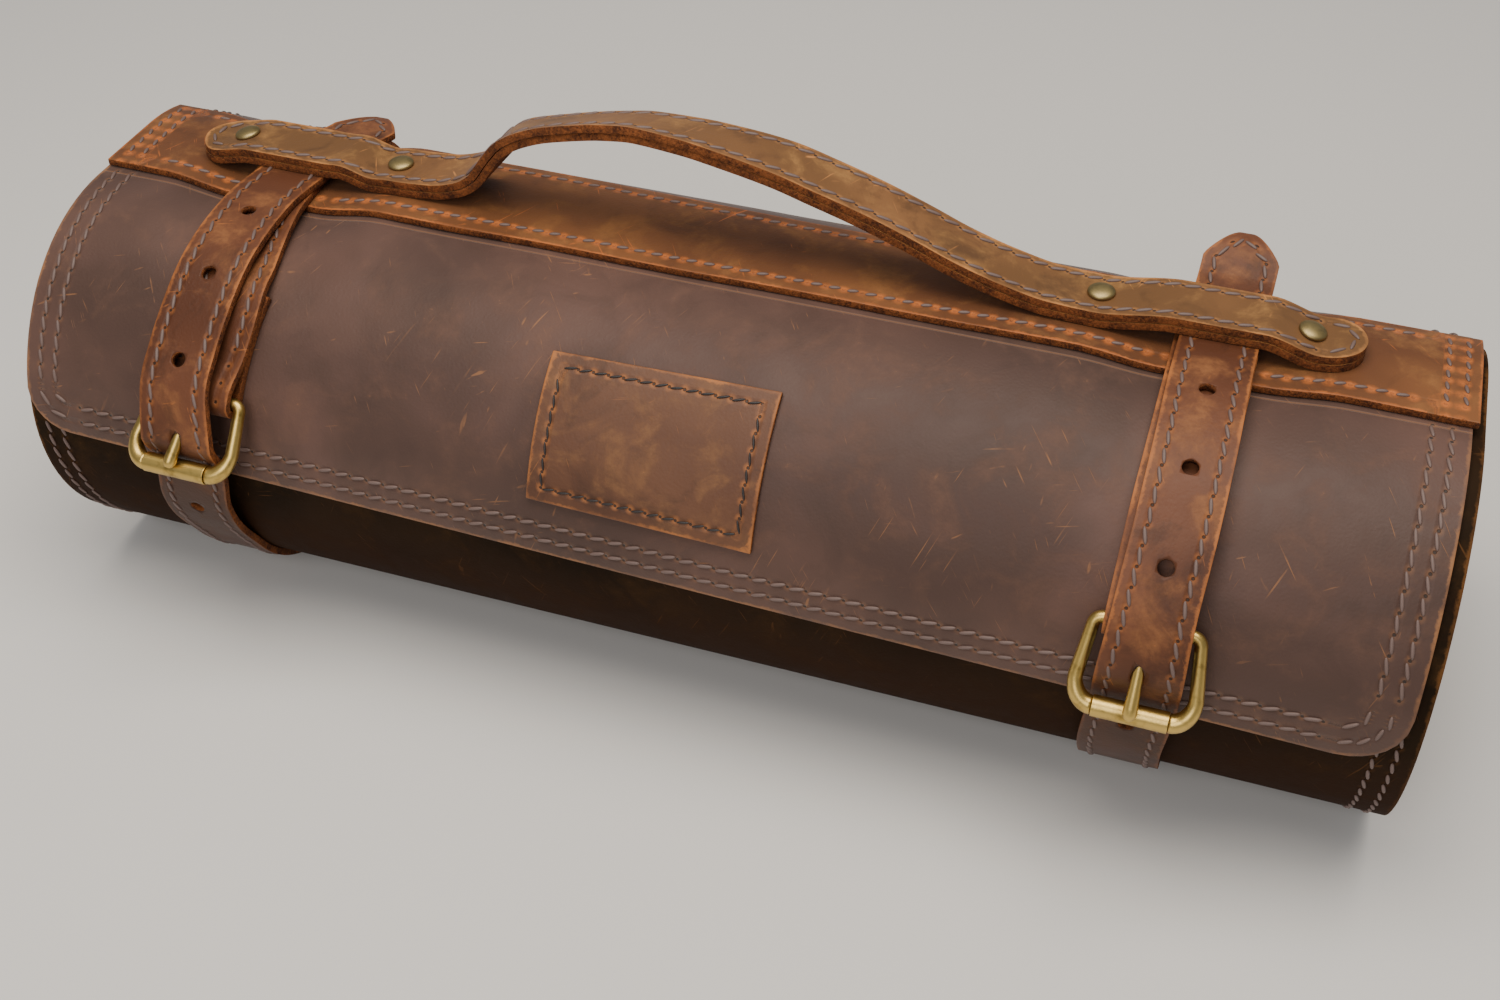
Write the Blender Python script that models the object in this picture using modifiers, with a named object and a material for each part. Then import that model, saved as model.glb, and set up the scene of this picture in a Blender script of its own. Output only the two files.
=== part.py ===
"""A leather chef's knife roll, rolled up and closed by two buckled straps.

Metres, +Z up. X runs along the roll, -Y is the front with the buckles. The roll lies on
the undersides of its straps, and the middle of its base is at the origin.
"""

import math

import bmesh
import bpy
from mathutils import Matrix, Vector

for old in list(bpy.data.objects):
    bpy.data.objects.remove(old, do_unlink=True)

# The roll: its length, and the closed section that its outer leather follows.
ROLL_LENGTH = 0.460
ROLL_DEPTH = 0.162
ROLL_HEIGHT = 0.137
FLAT_WIDTH = 0.032
SHOULDER_ANGLE = math.radians(50)
SHEET_THICKNESS = 0.0024
CLEARANCE = 0.0003
TURNS = 1.65
FLAP_FACE = 0.0006
FLAP_CORNER_LEFT = 0.015
FLAP_CORNER_RIGHT = 0.019
FLAP_EDGE_RISE = 0.0019
FLAP_EDGE_SLANT = 0.0238
FLAP_INSET_RIGHT = 0.002
UNDER_END_LEFT = 0.0015
UNDER_END_RIGHT = 0.0042

# The reinforcement along the top and the patch on the front.
PANEL_WIDTH = 0.0457
PANEL_THICKNESS = 0.0025
PANEL_SHIFT_BACK = 0.0118
PANEL_END_INSET = 0.0005
PANEL_WAVE = 0.0005
PANEL_WAIST = 0.0045
PATCH_WIDTH = 0.075
PATCH_HEIGHT = 0.0485
PATCH_TAPER = 0.0033
PATCH_THICKNESS = 0.0015
PATCH_CENTRE_X = -0.0073
PATCH_CENTRE_ABOVE_FLAP = 0.0443

# The straps.
STRAP_WIDTH = 0.0256
STRAP_FREE_WIDTH = 0.0238
STRAP_THICKNESS = 0.0024
STRAP_X = {"left": -0.3587 * ROLL_LENGTH, "right": 0.3304 * ROLL_LENGTH}
FOLD_LENGTH = 0.0345
POINT_LENGTH = 0.0115
POINT_END_WIDTH = 0.0046
TIP_REACH = {"left": 0.0235, "right": 0.0215}
TIP_RISE = {"left": 0.003, "right": 0.0142}
HOLE_DIAMETER = 0.005
HOLE_PITCH = 0.026
HOLE_NUMBERS = (-2, 0, 1, 2)
FIRST_HOLE = {"left": 0.0302, "right": 0.0408}
SLOT_WIDTH = 0.0048
# A cinched strap presses the roll's top in.
DENT = {"left": 0.0036, "right": 0.0022}
DENT_REACH = 0.026
# How the straps wander along the roll: travel in quarters of the way round, and the shift
# in shares of the strap's width. Four quarters bring a strap back to its buckle. The first
# shift is that of the fold's cut end.
WANDER = {
    "left": (
        (0.0, 0.32), (0.24, 0.2), (0.29, 0.2), (0.356, 0.24), (0.496, 0.3), (0.604, 0.26),
        (0.703, 0.18), (0.893, 0.04), (1.0, 0.0), (1.17, -0.07), (1.35, -0.24), (1.7, -0.3), (2.3, -0.28),
        (3.0, -0.2), (3.75, -0.1), (3.95, -0.04), (4.095, 0.1), (4.17, 0.11), (4.23, 0.09),
        (4.353, 0.03), (4.54, 0.035), (4.66, 0.03), (4.85, 0.02), (5.0, 0.1), (5.16, 0.26),
        (5.37, 0.43),
    ),
    "right": (
        (0.0, -0.02), (0.2, -0.035), (0.9, 0.0), (3.0, -0.06), (3.8, -0.11), (4.04, -0.035),
        (4.14, -0.02), (4.3, 0.0), (4.47, 0.03), (4.63, 0.035), (4.84, 0.02), (5.1, 0.03),
        (5.35, 0.06),
    ),
}

# The buckles: round wire, a rolled sheet on the front bar, and a prong. The wire swells at
# the front corners: how far round the corner, and the share of the wire's width there.
WIRE = 0.0044
CORNER_SWELL = ((0.0, 1.36), (0.5, 1.25), (1.0, 1.0))
REAR_WIRE_SHARE = 0.88
BUCKLE_WIDTH = 0.0395
BUCKLE_FRONT_CORNER = 0.0082
BUCKLE_BAR_CORNER = 0.003
BUCKLE_SHIFT = {"left": 0.005, "right": -0.001}
BUCKLE_SKEW = {"left": -0.0028, "right": 0.0}
BAR_TO_ROLLER = {"left": 0.0198, "right": 0.0238}
ROLLER_HEIGHT = {"left": 0.0134, "right": 0.0046}
ROLLER_STANDOFF = {"left": 0.0146, "right": 0.0114}
ROLLER_DIAMETER = 0.0066
ROLLER_LENGTH = 0.0224
ROLLER_WALL = 0.00045
# Where the free end crosses the prong, as a share of the way from the roller to the bar.
CROSSING = {"left": 0.42, "right": 0.6}
PRONG_WIRE = 0.0033
PRONG_LOOP_WIRE = 0.0024
PRONG_OVERHANG = 0.0002
PRONG_TIP_SHARE = 1.3
PRONG_LOOP = math.radians(285)

# The handle, its rivets and the brass.
HANDLE_WIDTH = 0.0214
HANDLE_LAYER = 0.0025
HANDLE_SHIFT_BACK = 0.0102
HANDLE_END = {"left": 0.0166, "right": 0.0167}
ARCH_RISE = 0.0335
ARCH_TILT = 0.0032
RIVET_CAP = 0.0088
RIVET_DOME = 0.0021
RIVET_POST = 0.0034
RIVET_FROM_STRAP = {
    "left_outer": ("left", -0.0191),
    "left_inner": ("left", 0.0396),
    "right_inner": ("right", -0.0372),
    "right_outer": ("right", 0.0264),
}
# How far past a strap's edge the handle is back down on the panel.
RUN_DOWN = {"left": (0.021, 0.015), "right": (0.026, 0.018)}
# The arch between the inner rivets, in shares of their distance and of the rise: the
# handle folds up steeply at the left and slopes down slowly to the right.
ARCH = (
    (0.0, 0.0), (0.064, 0.03), (0.106, 0.11), (0.135, 0.24), (0.156, 0.44), (0.181, 0.63),
    (0.222, 0.765), (0.281, 0.885), (0.335, 0.965), (0.376, 1.0), (0.439, 0.985),
    (0.501, 0.935), (0.564, 0.86), (0.626, 0.735), (0.689, 0.595), (0.751, 0.43),
    (0.813, 0.25), (0.876, 0.11), (0.938, 0.02), (1.0, 0.0),
)


# The section: a flat bottom and top, corner arcs, and flatter arcs at front and back.
half_depth = ROLL_DEPTH / 2
half_height = ROLL_HEIGHT / 2
half_flat = FLAT_WIDTH / 2
side_angle = math.pi / 2 - SHOULDER_ANGLE
sin_a, cos_a = math.sin(SHOULDER_ANGLE), math.cos(SHOULDER_ANGLE)
det = sin_a * cos_a - (1 - sin_a) * (1 - cos_a)
corner_radius = (cos_a * (half_depth - half_flat) - (1 - sin_a) * half_height) / det
side_radius = (sin_a * half_height - (1 - cos_a) * (half_depth - half_flat)) / det
side_arc = side_radius * side_angle
corner_arc = corner_radius * SHOULDER_ANGLE
quarter = side_arc + corner_arc + half_flat
turn = 4 * quarter


def section(travel, off=0.0):
    """The point `off` outside the section after `travel` from the front, and the way out.

    Travel runs up the front, over the top, down the back and along the bottom.
    """
    s = (travel + 2 * quarter) % turn - 2 * quarter
    below, s = s < 0, abs(s)
    behind = s > quarter
    if behind:
        s = 2 * quarter - s
    if s <= side_arc:
        angle = s / side_radius
        y, z = side_radius - half_depth - side_radius * math.cos(angle), side_radius * math.sin(angle)
    elif s <= side_arc + corner_arc:
        angle = side_angle + (s - side_arc) / corner_radius
        y = -half_flat - corner_radius * math.cos(angle)
        z = half_height - corner_radius + corner_radius * math.sin(angle)
    else:
        angle = math.pi / 2
        y, z = -half_flat + s - side_arc - corner_arc, half_height
    out_y, out_z = -math.cos(angle), math.sin(angle)
    if behind:
        y, out_y = -y, -out_y
    if below:
        z, out_z = -z, -out_z
    return Vector((0, y + off * out_y, half_height + z + off * out_z)), Vector((0, out_y, out_z))


def ramp(value, start, end):
    """0 up to `start`, 1 from `end`, smooth between."""
    share = min(max((value - start) / (end - start), 0.0), 1.0)
    return share * share * (3 - 2 * share)


def through(table, at):
    """A smooth curve through a table of pairs, without overshoot."""
    steps = [(b[0] - a[0], (b[1] - a[1]) / (b[0] - a[0])) for a, b in zip(table, table[1:])]
    slopes = [0.0]
    for (width0, slope0), (width1, slope1) in zip(steps, steps[1:]):
        rising = slope0 * slope1 > 0
        weight0, weight1 = 2 * width1 + width0, width1 + 2 * width0
        slopes.append((weight0 + weight1) / (weight0 / slope0 + weight1 / slope1) if rising else 0.0)
    slopes.append(0.0)
    if at <= table[0][0]:
        return table[0][1]
    for i, (width, _) in enumerate(steps):
        if at <= table[i + 1][0]:
            t = (at - table[i][0]) / width
            return (
                table[i][1] * (1 + 2 * t) * (1 - t) ** 2
                + table[i + 1][1] * t * t * (3 - 2 * t)
                + width * (slopes[i] * t * (1 - t) ** 2 - slopes[i + 1] * t * t * (1 - t))
            )
    return table[-1][1]


def spaced(start, end, step):
    """Evenly spaced values from start to end, about a step apart."""
    count = max(1, round(abs(end - start) / step))
    return [start + (end - start) * i / count for i in range(count + 1)]


def strap_x(side, travel):
    """The middle of a strap along the roll."""
    return STRAP_X[side] + STRAP_WIDTH * through(WANDER[side], travel / quarter)


def dent_share(travel):
    """The dents are in the top only."""
    rest = travel % turn
    return ramp(rest, 0.5 * quarter, 0.85 * quarter) * (1 - ramp(rest, 1.25 * quarter, 1.65 * quarter))


def dent(x, travel):
    """How far the straps press the leather in at this place."""
    depth, pressed = 0.0, 0.6 * STRAP_WIDTH
    for side, deep in DENT.items():
        away = abs(x - strap_x(side, travel % turn))
        depth += deep * (1 - ramp(away, pressed, pressed + DENT_REACH))
    return depth * dent_share(travel)


def columns(start, end, step):
    """Places along the roll from start to end, closer together where the straps press."""
    places, last = [start], start
    for x in sorted(STRAP_X.values()):
        near = [x + share * STRAP_WIDTH for share in (-1.5, -1.05, -0.7, -0.25, 0.25, 0.7, 1.05, 1.5)]
        places += spaced(last, near[0], step)[1:] + near[1:]
        last = near[-1]
    return places + spaced(last, end, step)[1:]


# Collections, materials and the empty that carries the whole.
parts = bpy.data.collections.new("leather_chef_knife_roll")
cutters = bpy.data.collections.new("cutters")
for collection in (parts, cutters):
    bpy.context.scene.collection.children.link(collection)
base = bpy.data.objects.new("base", None)
parts.objects.link(base)


def material(name, colour, roughness, metallic=0.0):
    made = bpy.data.materials.new(name)
    made.use_nodes = True
    shader = made.node_tree.nodes["Principled BSDF"]
    shader.inputs["Base Color"].default_value = (*colour, 1)
    shader.inputs["Roughness"].default_value = roughness
    shader.inputs["Metallic"].default_value = metallic
    return made


DARK_BROWN = (0.055, 0.036, 0.028)
OLIVE_BROWN = (0.13, 0.078, 0.045)
RED_BROWN = (0.10, 0.042, 0.024)
BRASS = (0.42, 0.30, 0.15)


def add(name, mesh, colour=None, roughness=0.5, metallic=0.0):
    """An object in the parts, or with no colour a cutter."""
    made = bpy.data.objects.new(name, mesh)
    made.parent = base
    if colour is None:
        cutters.objects.link(made)
        made.hide_render = True
        made.display_type = "WIRE"
    else:
        parts.objects.link(made)
        mesh.materials.append(material(name, colour, roughness, metallic))
    return made


def mesh_of(bm, name):
    mesh = bpy.data.meshes.new(name)
    bm.to_mesh(mesh)
    bm.free()
    return mesh


def leather(name, rows, shares, place, thickness, colour):
    """A grid of rows and shares put where `place` says and thickened to both sides."""
    bm = bmesh.new()
    bmesh.ops.create_grid(bm, x_segments=len(rows) - 1, y_segments=len(shares) - 1, size=0.5)
    for vert in bm.verts:
        row = rows[round((vert.co.x + 0.5) * (len(rows) - 1))]
        share = shares[round((vert.co.y + 0.5) * (len(shares) - 1))]
        vert.co = place(row, share)
    mesh = mesh_of(bm, name)
    mesh.shade_smooth()
    mesh.set_sharp_from_angle(angle=math.radians(35))
    made = add(name, mesh, colour, 0.55)
    solidify = made.modifiers.new("thickness", "SOLIDIFY")
    solidify.thickness = thickness
    solidify.offset = 0
    solidify.use_even_offset = True
    return made


def cylinder(name, radius, length, matrix, sides=20):
    """A cutter whose axis is the matrix's Z."""
    bm = bmesh.new()
    bmesh.ops.create_cone(
        bm, cap_ends=True, segments=sides, radius1=radius, radius2=radius, depth=length, matrix=matrix
    )
    return add(name, mesh_of(bm, name))


def cut(made, cutter):
    boolean = made.modifiers.new(cutter.name, "BOOLEAN")
    boolean.operation = "DIFFERENCE"
    boolean.solver = "EXACT"
    boolean.object = cutter


def wire(name, points, depth, closed, radii=None):
    """A round wire through points, as a mesh with its ends closed."""
    curve = bpy.data.curves.new(name, "CURVE")
    curve.dimensions = "3D"
    curve.bevel_depth = depth / 2
    curve.bevel_resolution = 2
    curve.use_fill_caps = True
    spline = curve.splines.new("POLY")
    spline.points.add(len(points) - 1)
    for i, (point, position) in enumerate(zip(spline.points, points)):
        point.co = (*position, 1)
        point.radius = radii[i] if radii else 1.0
    spline.use_cyclic_u = closed
    holder = bpy.data.objects.new(name, curve)
    parts.objects.link(holder)
    bpy.context.view_layer.update()
    evaluated = holder.evaluated_get(bpy.context.evaluated_depsgraph_get())
    mesh = bpy.data.meshes.new_from_object(evaluated)
    bpy.data.objects.remove(holder)
    bpy.data.curves.remove(curve)
    bm = bmesh.new()
    bm.from_mesh(mesh)
    bmesh.ops.remove_doubles(bm, verts=bm.verts, dist=1e-6)
    bmesh.ops.recalc_face_normals(bm, faces=bm.faces)
    bm.to_mesh(mesh)
    bm.free()
    mesh.name = name
    mesh.materials.clear()
    mesh.shade_smooth()
    mesh.set_sharp_from_angle(angle=math.radians(50))
    return mesh


# The big sheet. Each turn lies one sheet and a clearance further in, and it steps in at
# the back, so that the front, the top and the bottom stay true to the section.
wrap_pitch = SHEET_THICKNESS + CLEARANCE
step_start, step_end = 1.3 * quarter, 2.7 * quarter


def sheet_face(travel):
    """How far outside the section the sheet's outer face lies."""
    turns, rest = divmod(travel, turn)
    return FLAP_FACE - wrap_pitch * (turns + ramp(rest, step_start, step_end))


def flap_corner(radius, distance):
    """How much a rounded corner takes off at this distance from the flap's edge."""
    if distance >= radius:
        return 0.0
    return radius - math.sqrt(radius * radius - (radius - distance) ** 2)


def sheet_ends(travel):
    drift = ramp(travel, step_start, turn)
    left = -ROLL_LENGTH / 2 - UNDER_END_LEFT * drift + flap_corner(FLAP_CORNER_LEFT, travel)
    right = (
        ROLL_LENGTH / 2 - FLAP_INSET_RIGHT * (1 - drift) + (UNDER_END_RIGHT - FLAP_INSET_RIGHT) * drift
        - flap_corner(FLAP_CORNER_RIGHT, travel)
    )
    return left, right


flap_edge = FLAP_EDGE_RISE - FLAP_EDGE_SLANT * PATCH_CENTRE_X


def place_sheet(travel, share):
    left, right = sheet_ends(travel)
    x = left + (right - left) * share
    slant = (FLAP_EDGE_RISE - FLAP_EDGE_SLANT * x) * (1 - ramp(travel, 0, quarter))
    off = sheet_face(travel) - SHEET_THICKNESS / 2 - dent(x, travel)
    point, _ = section(travel + slant, off)
    point.x = x
    return point


corner_rows = [FLAP_CORNER_RIGHT * share for share in (0, 0.04, 0.12, 0.25, 0.42, 0.65)]
sheet_rows = corner_rows + spaced(FLAP_CORNER_RIGHT, TURNS * turn, 0.0092)
sheet_shares = [0.5 + x / ROLL_LENGTH for x in columns(-ROLL_LENGTH / 2, ROLL_LENGTH / 2, 0.15)]
leather("roll_sheet", sheet_rows, sheet_shares, place_sheet, SHEET_THICKNESS, DARK_BROWN)

# The reinforcement lies on the flap, a little to the back of the top's middle.
panel_start = quarter + PANEL_SHIFT_BACK - PANEL_WIDTH / 2
panel_end = panel_start + PANEL_WIDTH
panel_lift = FLAP_FACE + CLEARANCE + PANEL_THICKNESS
panel_half = ROLL_LENGTH / 2 - PANEL_END_INSET


def place_panel(x, share):
    wave = PANEL_WAVE * math.sin(x / 0.021) * math.cos(x / 0.037) * (1 - share)
    waist = PANEL_WAIST * ramp(x, -0.2 * ROLL_LENGTH, 0.08 * ROLL_LENGTH)
    waist *= 1 - ramp(x, 0.12 * ROLL_LENGTH, 0.32 * ROLL_LENGTH)
    travel = panel_start + wave + (PANEL_WIDTH - waist) * share
    point, _ = section(travel, panel_lift - PANEL_THICKNESS / 2 - dent(x, travel))
    point.x = x
    return point


panel = leather(
    "top_panel", columns(-panel_half, panel_half, 0.0145), spaced(0, 1, 0.2), place_panel,
    PANEL_THICKNESS, OLIVE_BROWN,
)


def place_patch(x_share, share):
    height = PATCH_HEIGHT + PATCH_TAPER * x_share
    point, _ = section(
        PATCH_CENTRE_ABOVE_FLAP + flap_edge + height * (share - 0.5),
        FLAP_FACE + CLEARANCE + PATCH_THICKNESS / 2,
    )
    point.x = PATCH_CENTRE_X + PATCH_WIDTH * x_share
    return point


leather(
    "label_patch", (-0.5, 0, 0.5), spaced(0, 1, 0.143), place_patch, PATCH_THICKNESS, DARK_BROWN
)

# A strap starts at its fold's cut end, runs down the front, turns round the buckle's bar,
# comes back up over the fold, goes once round the roll, passes behind the roller and over
# the bar, and ends in a point behind the handle.
strap_pitch = STRAP_THICKNESS + CLEARANCE
first_lift = CLEARANCE + STRAP_THICKNESS / 2
fold_radius = WIRE / 2 + CLEARANCE + STRAP_THICKNESS / 2
bar_off = FLAP_FACE + first_lift + fold_radius
over_bar = fold_radius + STRAP_THICKNESS + 3 * CLEARANCE
handle_front = quarter + HANDLE_SHIFT_BACK - HANDLE_WIDTH / 2
handle_rear = handle_front + HANDLE_WIDTH
tip_start = handle_rear + 0.002


def strap_tables(side):
    """How far outside the section the strap's middle runs, on its way round and as its free end."""
    roller, bar = ROLLER_HEIGHT[side], ROLLER_HEIGHT[side] + BAR_TO_ROLLER[side]
    fold_end = bar + FOLD_LENGTH
    flat, doubled = FLAP_FACE + first_lift, FLAP_FACE + first_lift + strap_pitch
    on_panel = panel_lift + first_lift
    way_round = (
        (bar, bar_off + fold_radius), (bar + 0.016, doubled), (fold_end, doubled),
        (min(fold_end + 0.012, panel_start - 0.011), flat + 0.3 * strap_pitch),
        (panel_start - 0.002, on_panel), (panel_end + 0.002, on_panel), (panel_end + 0.014, flat),
    )
    on_top = on_panel + strap_pitch
    low = FLAP_FACE - wrap_pitch + first_lift
    roller_off = ROLLER_STANDOFF[side] + FLAP_FACE
    behind_roller = roller_off - ROLLER_DIAMETER / 2 - STRAP_THICKNESS / 2 - 5 * CLEARANCE
    above_bar = bar_off + over_bar
    crossing = CROSSING[side]
    on_prong = roller_off + crossing * (bar_off - roller_off) + WIRE / 2 + PRONG_WIRE / 2
    free_end = (
        (roller - 0.052, low), (roller - 0.026, low + 0.42 * (behind_roller - low)),
        (roller, behind_roller), (roller + crossing * BAR_TO_ROLLER[side], on_prong),
        (bar, max(above_bar, on_prong)), (bar + 0.014, 0.25 * on_top + 0.75 * above_bar),
        (fold_end - 0.002, doubled + 1.4 * strap_pitch), (panel_start - 0.002, on_top),
        (tip_start, on_top), (tip_start + 0.4 * TIP_REACH[side], on_top + 0.2 * TIP_RISE[side]),
        (tip_start + TIP_REACH[side], on_top + TIP_RISE[side]),
    )
    return way_round, free_end


def strap_off(side, travel):
    way_round, free_end = strap_tables(side)
    pressed = DENT[side] * dent_share(travel)
    if travel > turn + free_end[0][0]:
        return through(free_end, travel - turn) - pressed
    if travel < way_round[-1][0]:
        return through(way_round, travel) - pressed
    return sheet_face(travel) + first_lift - pressed


def strap_point(side, travel):
    return section(travel, strap_off(side, travel))[0]


def strap_normal(side, travel):
    along = strap_point(side, travel + 0.0005) - strap_point(side, travel - 0.0005)
    return Vector((0, -along.z, along.y)).normalized()


def at_x(point, x):
    return Vector((x, point.y, point.z))


def strap_path(side):
    """The strap's middle line, each point with the strap's width there."""
    bar = ROLLER_HEIGHT[side] + BAR_TO_ROLLER[side]
    centre, out = section(bar, bar_off)
    along = Vector((0, out.z, -out.y))
    fold_x, bar_x = STRAP_X[side] + STRAP_WIDTH * WANDER[side][0][1], strap_x(side, bar)
    points = [
        at_x(section(s, FLAP_FACE + first_lift)[0], bar_x + (fold_x - bar_x) * (s - bar) / FOLD_LENGTH)
        for s in spaced(bar + FOLD_LENGTH, bar, 0.009)
    ]
    for i in range(1, 10):
        angle = math.pi * i / 10
        point = centre - fold_radius * (math.cos(angle) * out + math.sin(angle) * along)
        points.append(at_x(point, bar_x))
    widths = [STRAP_WIDTH] * len(points)
    front, over = ROLLER_HEIGHT[side] - 0.05 + turn, tip_start + turn
    travels = spaced(bar, panel_end + 0.016, 0.0058)
    travels += spaced(panel_end + 0.016, front, 0.0085)[1:]
    travels += spaced(front, panel_start + turn, 0.0044)[1:]
    travels += spaced(panel_start + turn, over, 0.0085)[1:]
    travels += spaced(over, over + TIP_REACH[side], 0.0019)[1:]
    points += [at_x(strap_point(side, travel), strap_x(side, travel)) for travel in travels]
    taper = turn + ROLLER_HEIGHT[side] + 0.3 * BAR_TO_ROLLER[side]
    for travel in travels:
        tapered = ramp(travel, taper, taper + BAR_TO_ROLLER[side])
        widths.append(STRAP_WIDTH + (STRAP_FREE_WIDTH - STRAP_WIDTH) * tapered)
    return points, widths


def buckle_axes(side):
    """The middles of the bar and of the roller."""
    x = STRAP_X[side] + BUCKLE_SHIFT[side]
    roller, _ = section(ROLLER_HEIGHT[side], ROLLER_STANDOFF[side] + FLAP_FACE)
    bar, _ = section(ROLLER_HEIGHT[side] + BAR_TO_ROLLER[side], bar_off)
    return at_x(bar, x), at_x(roller, x + BUCKLE_SKEW[side])


for side in ("left", "right"):
    path, widths = strap_path(side)
    lengths = [0.0]
    for a, b in zip(path, path[1:]):
        lengths.append(lengths[-1] + (b - a).length)

    def place_strap(i, share):
        to_tip = min((lengths[-1] - lengths[i]) / POINT_LENGTH, 1.0)
        half = (POINT_END_WIDTH + (widths[i] - POINT_END_WIDTH) * to_tip * (1.3 - 0.3 * to_tip)) / 2
        return path[i] + Vector((share * half, 0, 0))

    strap = leather(
        "strap_" + side, range(len(path)), (-1, -0.35, 0.35, 1), place_strap, STRAP_THICKNESS, RED_BROWN
    )

    bar, roller = buckle_axes(side)
    across = Vector((1, 0, 0))
    forward = at_x(roller - bar, 0)
    reach = forward.length
    forward.normalize()
    out = forward.cross(across)
    if out.y > 0:
        out = -out
    skewed = forward + across * BUCKLE_SKEW[side] / reach

    # The slot in the fold, for the prong's loop.
    slot_matrix = Matrix.Translation(bar) @ Matrix.Rotation(math.pi / 2, 4, "Y")
    slot_radius = fold_radius + STRAP_THICKNESS / 2 + CLEARANCE
    cut(strap, cylinder("slot_" + side, slot_radius, SLOT_WIDTH, slot_matrix))

    # The adjusting holes, a pitch apart. The prong is in the one below the first.
    for number in HOLE_NUMBERS:
        travel = turn + ROLLER_HEIGHT[side] + FIRST_HOLE[side] + number * HOLE_PITCH
        normal = strap_normal(side, travel)
        depth = STRAP_THICKNESS + CLEARANCE / 2
        centre = at_x(strap_point(side, travel), strap_x(side, travel))
        centre += normal * (depth / 2 + 0.001 - CLEARANCE / 4 - STRAP_THICKNESS / 2)
        matrix = Matrix.Translation(centre) @ normal.to_track_quat("Z", "X").to_matrix().to_4x4()
        hole = cylinder(f"hole_{side}_{number + 2}", HOLE_DIAMETER / 2, depth + 0.002, matrix)
        cut(strap, hole)

    # The frame: the bar in the fold, two sides that spread, and the front bar in the roller.
    front_x, front_end = (BUCKLE_WIDTH - WIRE) / 2, ROLLER_LENGTH / 2 + CLEARANCE
    bar_end = STRAP_WIDTH / 2 + WIRE / 2 + 2 * CLEARANCE
    half_loop = [(ROLLER_LENGTH / 2, reach, 1.0)]
    for i in range(6):
        angle = math.radians(18 * i)
        half_loop.append((
            front_end + (front_x - front_end) * math.sin(angle),
            reach - BUCKLE_FRONT_CORNER * (1 - math.cos(angle)),
            through(CORNER_SWELL, i / 5),
        ))
    for i in range(5):
        angle = math.radians(22.5 * i)
        half_loop.append((
            bar_end - BUCKLE_BAR_CORNER * (1 - math.cos(angle)),
            BUCKLE_BAR_CORNER * (1 - math.sin(angle)),
            REAR_WIRE_SHARE,
        ))
    loop = half_loop + [(-x, f, share) for x, f, share in reversed(half_loop)]
    frame_points = [bar + across * x + skewed * f for x, f, _ in loop]
    frame_name = "buckle_frame_" + side
    frame = wire(frame_name, frame_points, WIRE, True, [share for _, _, share in loop])
    add(frame_name, frame, BRASS, 0.35, 1.0)

    # The roller turns on the front bar.
    bm = bmesh.new()
    bmesh.ops.create_cone(
        bm, cap_ends=False, segments=20, radius1=ROLLER_DIAMETER / 2, radius2=ROLLER_DIAMETER / 2,
        depth=ROLLER_LENGTH,
        matrix=Matrix.Translation(roller) @ Matrix.Rotation(math.pi / 2, 4, "Y"),
    )
    roller_tube = add("buckle_roller_" + side, mesh_of(bm, "buckle_roller_" + side), BRASS, 0.35, 1.0)
    tube_wall = roller_tube.modifiers.new("wall", "SOLIDIFY")
    tube_wall.thickness = ROLLER_WALL
    tube_wall.offset = -1

    # The prong: a loop round the bar, then straight over the roller.
    loop_radius = WIRE / 2 + CLEARANCE + PRONG_LOOP_WIRE / 2
    tip_out = ROLLER_DIAMETER / 2 + CLEARANCE + PRONG_TIP_SHARE * PRONG_WIRE / 2
    tip = Vector((0, reach + PRONG_OVERHANG, tip_out))
    distance = math.hypot(tip.y, tip.z)
    tangent_angle = math.atan2(tip.z, tip.y) + math.acos(loop_radius / distance)
    prong, prong_radii = [], []
    for angle in spaced(tangent_angle + PRONG_LOOP, tangent_angle, math.radians(24)):
        prong.append(
            bar + forward * loop_radius * math.cos(angle) + out * loop_radius * math.sin(angle)
        )
        prong_radii.append(PRONG_LOOP_WIRE / PRONG_WIRE)
    start, end = prong[-1], bar + skewed * tip.y + out * tip.z
    shank_shape = (0.3, 1.0), (0.6, 1.05), (0.9, PRONG_TIP_SHARE), (0.97, 0.9 * PRONG_TIP_SHARE), (1.0, 0.7)
    for share, radius in shank_shape:
        prong.append(start.lerp(end, share))
        prong_radii.append(radius)
    prong_name = "buckle_prong_" + side
    add(prong_name, wire(prong_name, prong, PRONG_WIRE, False, prong_radii), BRASS, 0.3, 1.0)
    shank = [point for point in prong[-6:]]
    shank_hole = add(
        "prong_hole_" + side, wire("prong_hole_" + side, shank, PRONG_WIRE + 2.6 * CLEARANCE, False)
    )
    cut(strap, shank_hole)

# The handle: two leathers that lie on the panel at the rivets, pass over the straps and
# arch between the inner rivets.
rivet_x = {name: STRAP_X[side] + away for name, (side, away) in RIVET_FROM_STRAP.items()}
arch_start, arch_end = rivet_x["left_inner"], rivet_x["right_inner"]
on_panel_z = ROLL_HEIGHT + panel_lift + CLEARANCE
stack = 2 * HANDLE_LAYER + CLEARANCE


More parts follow.
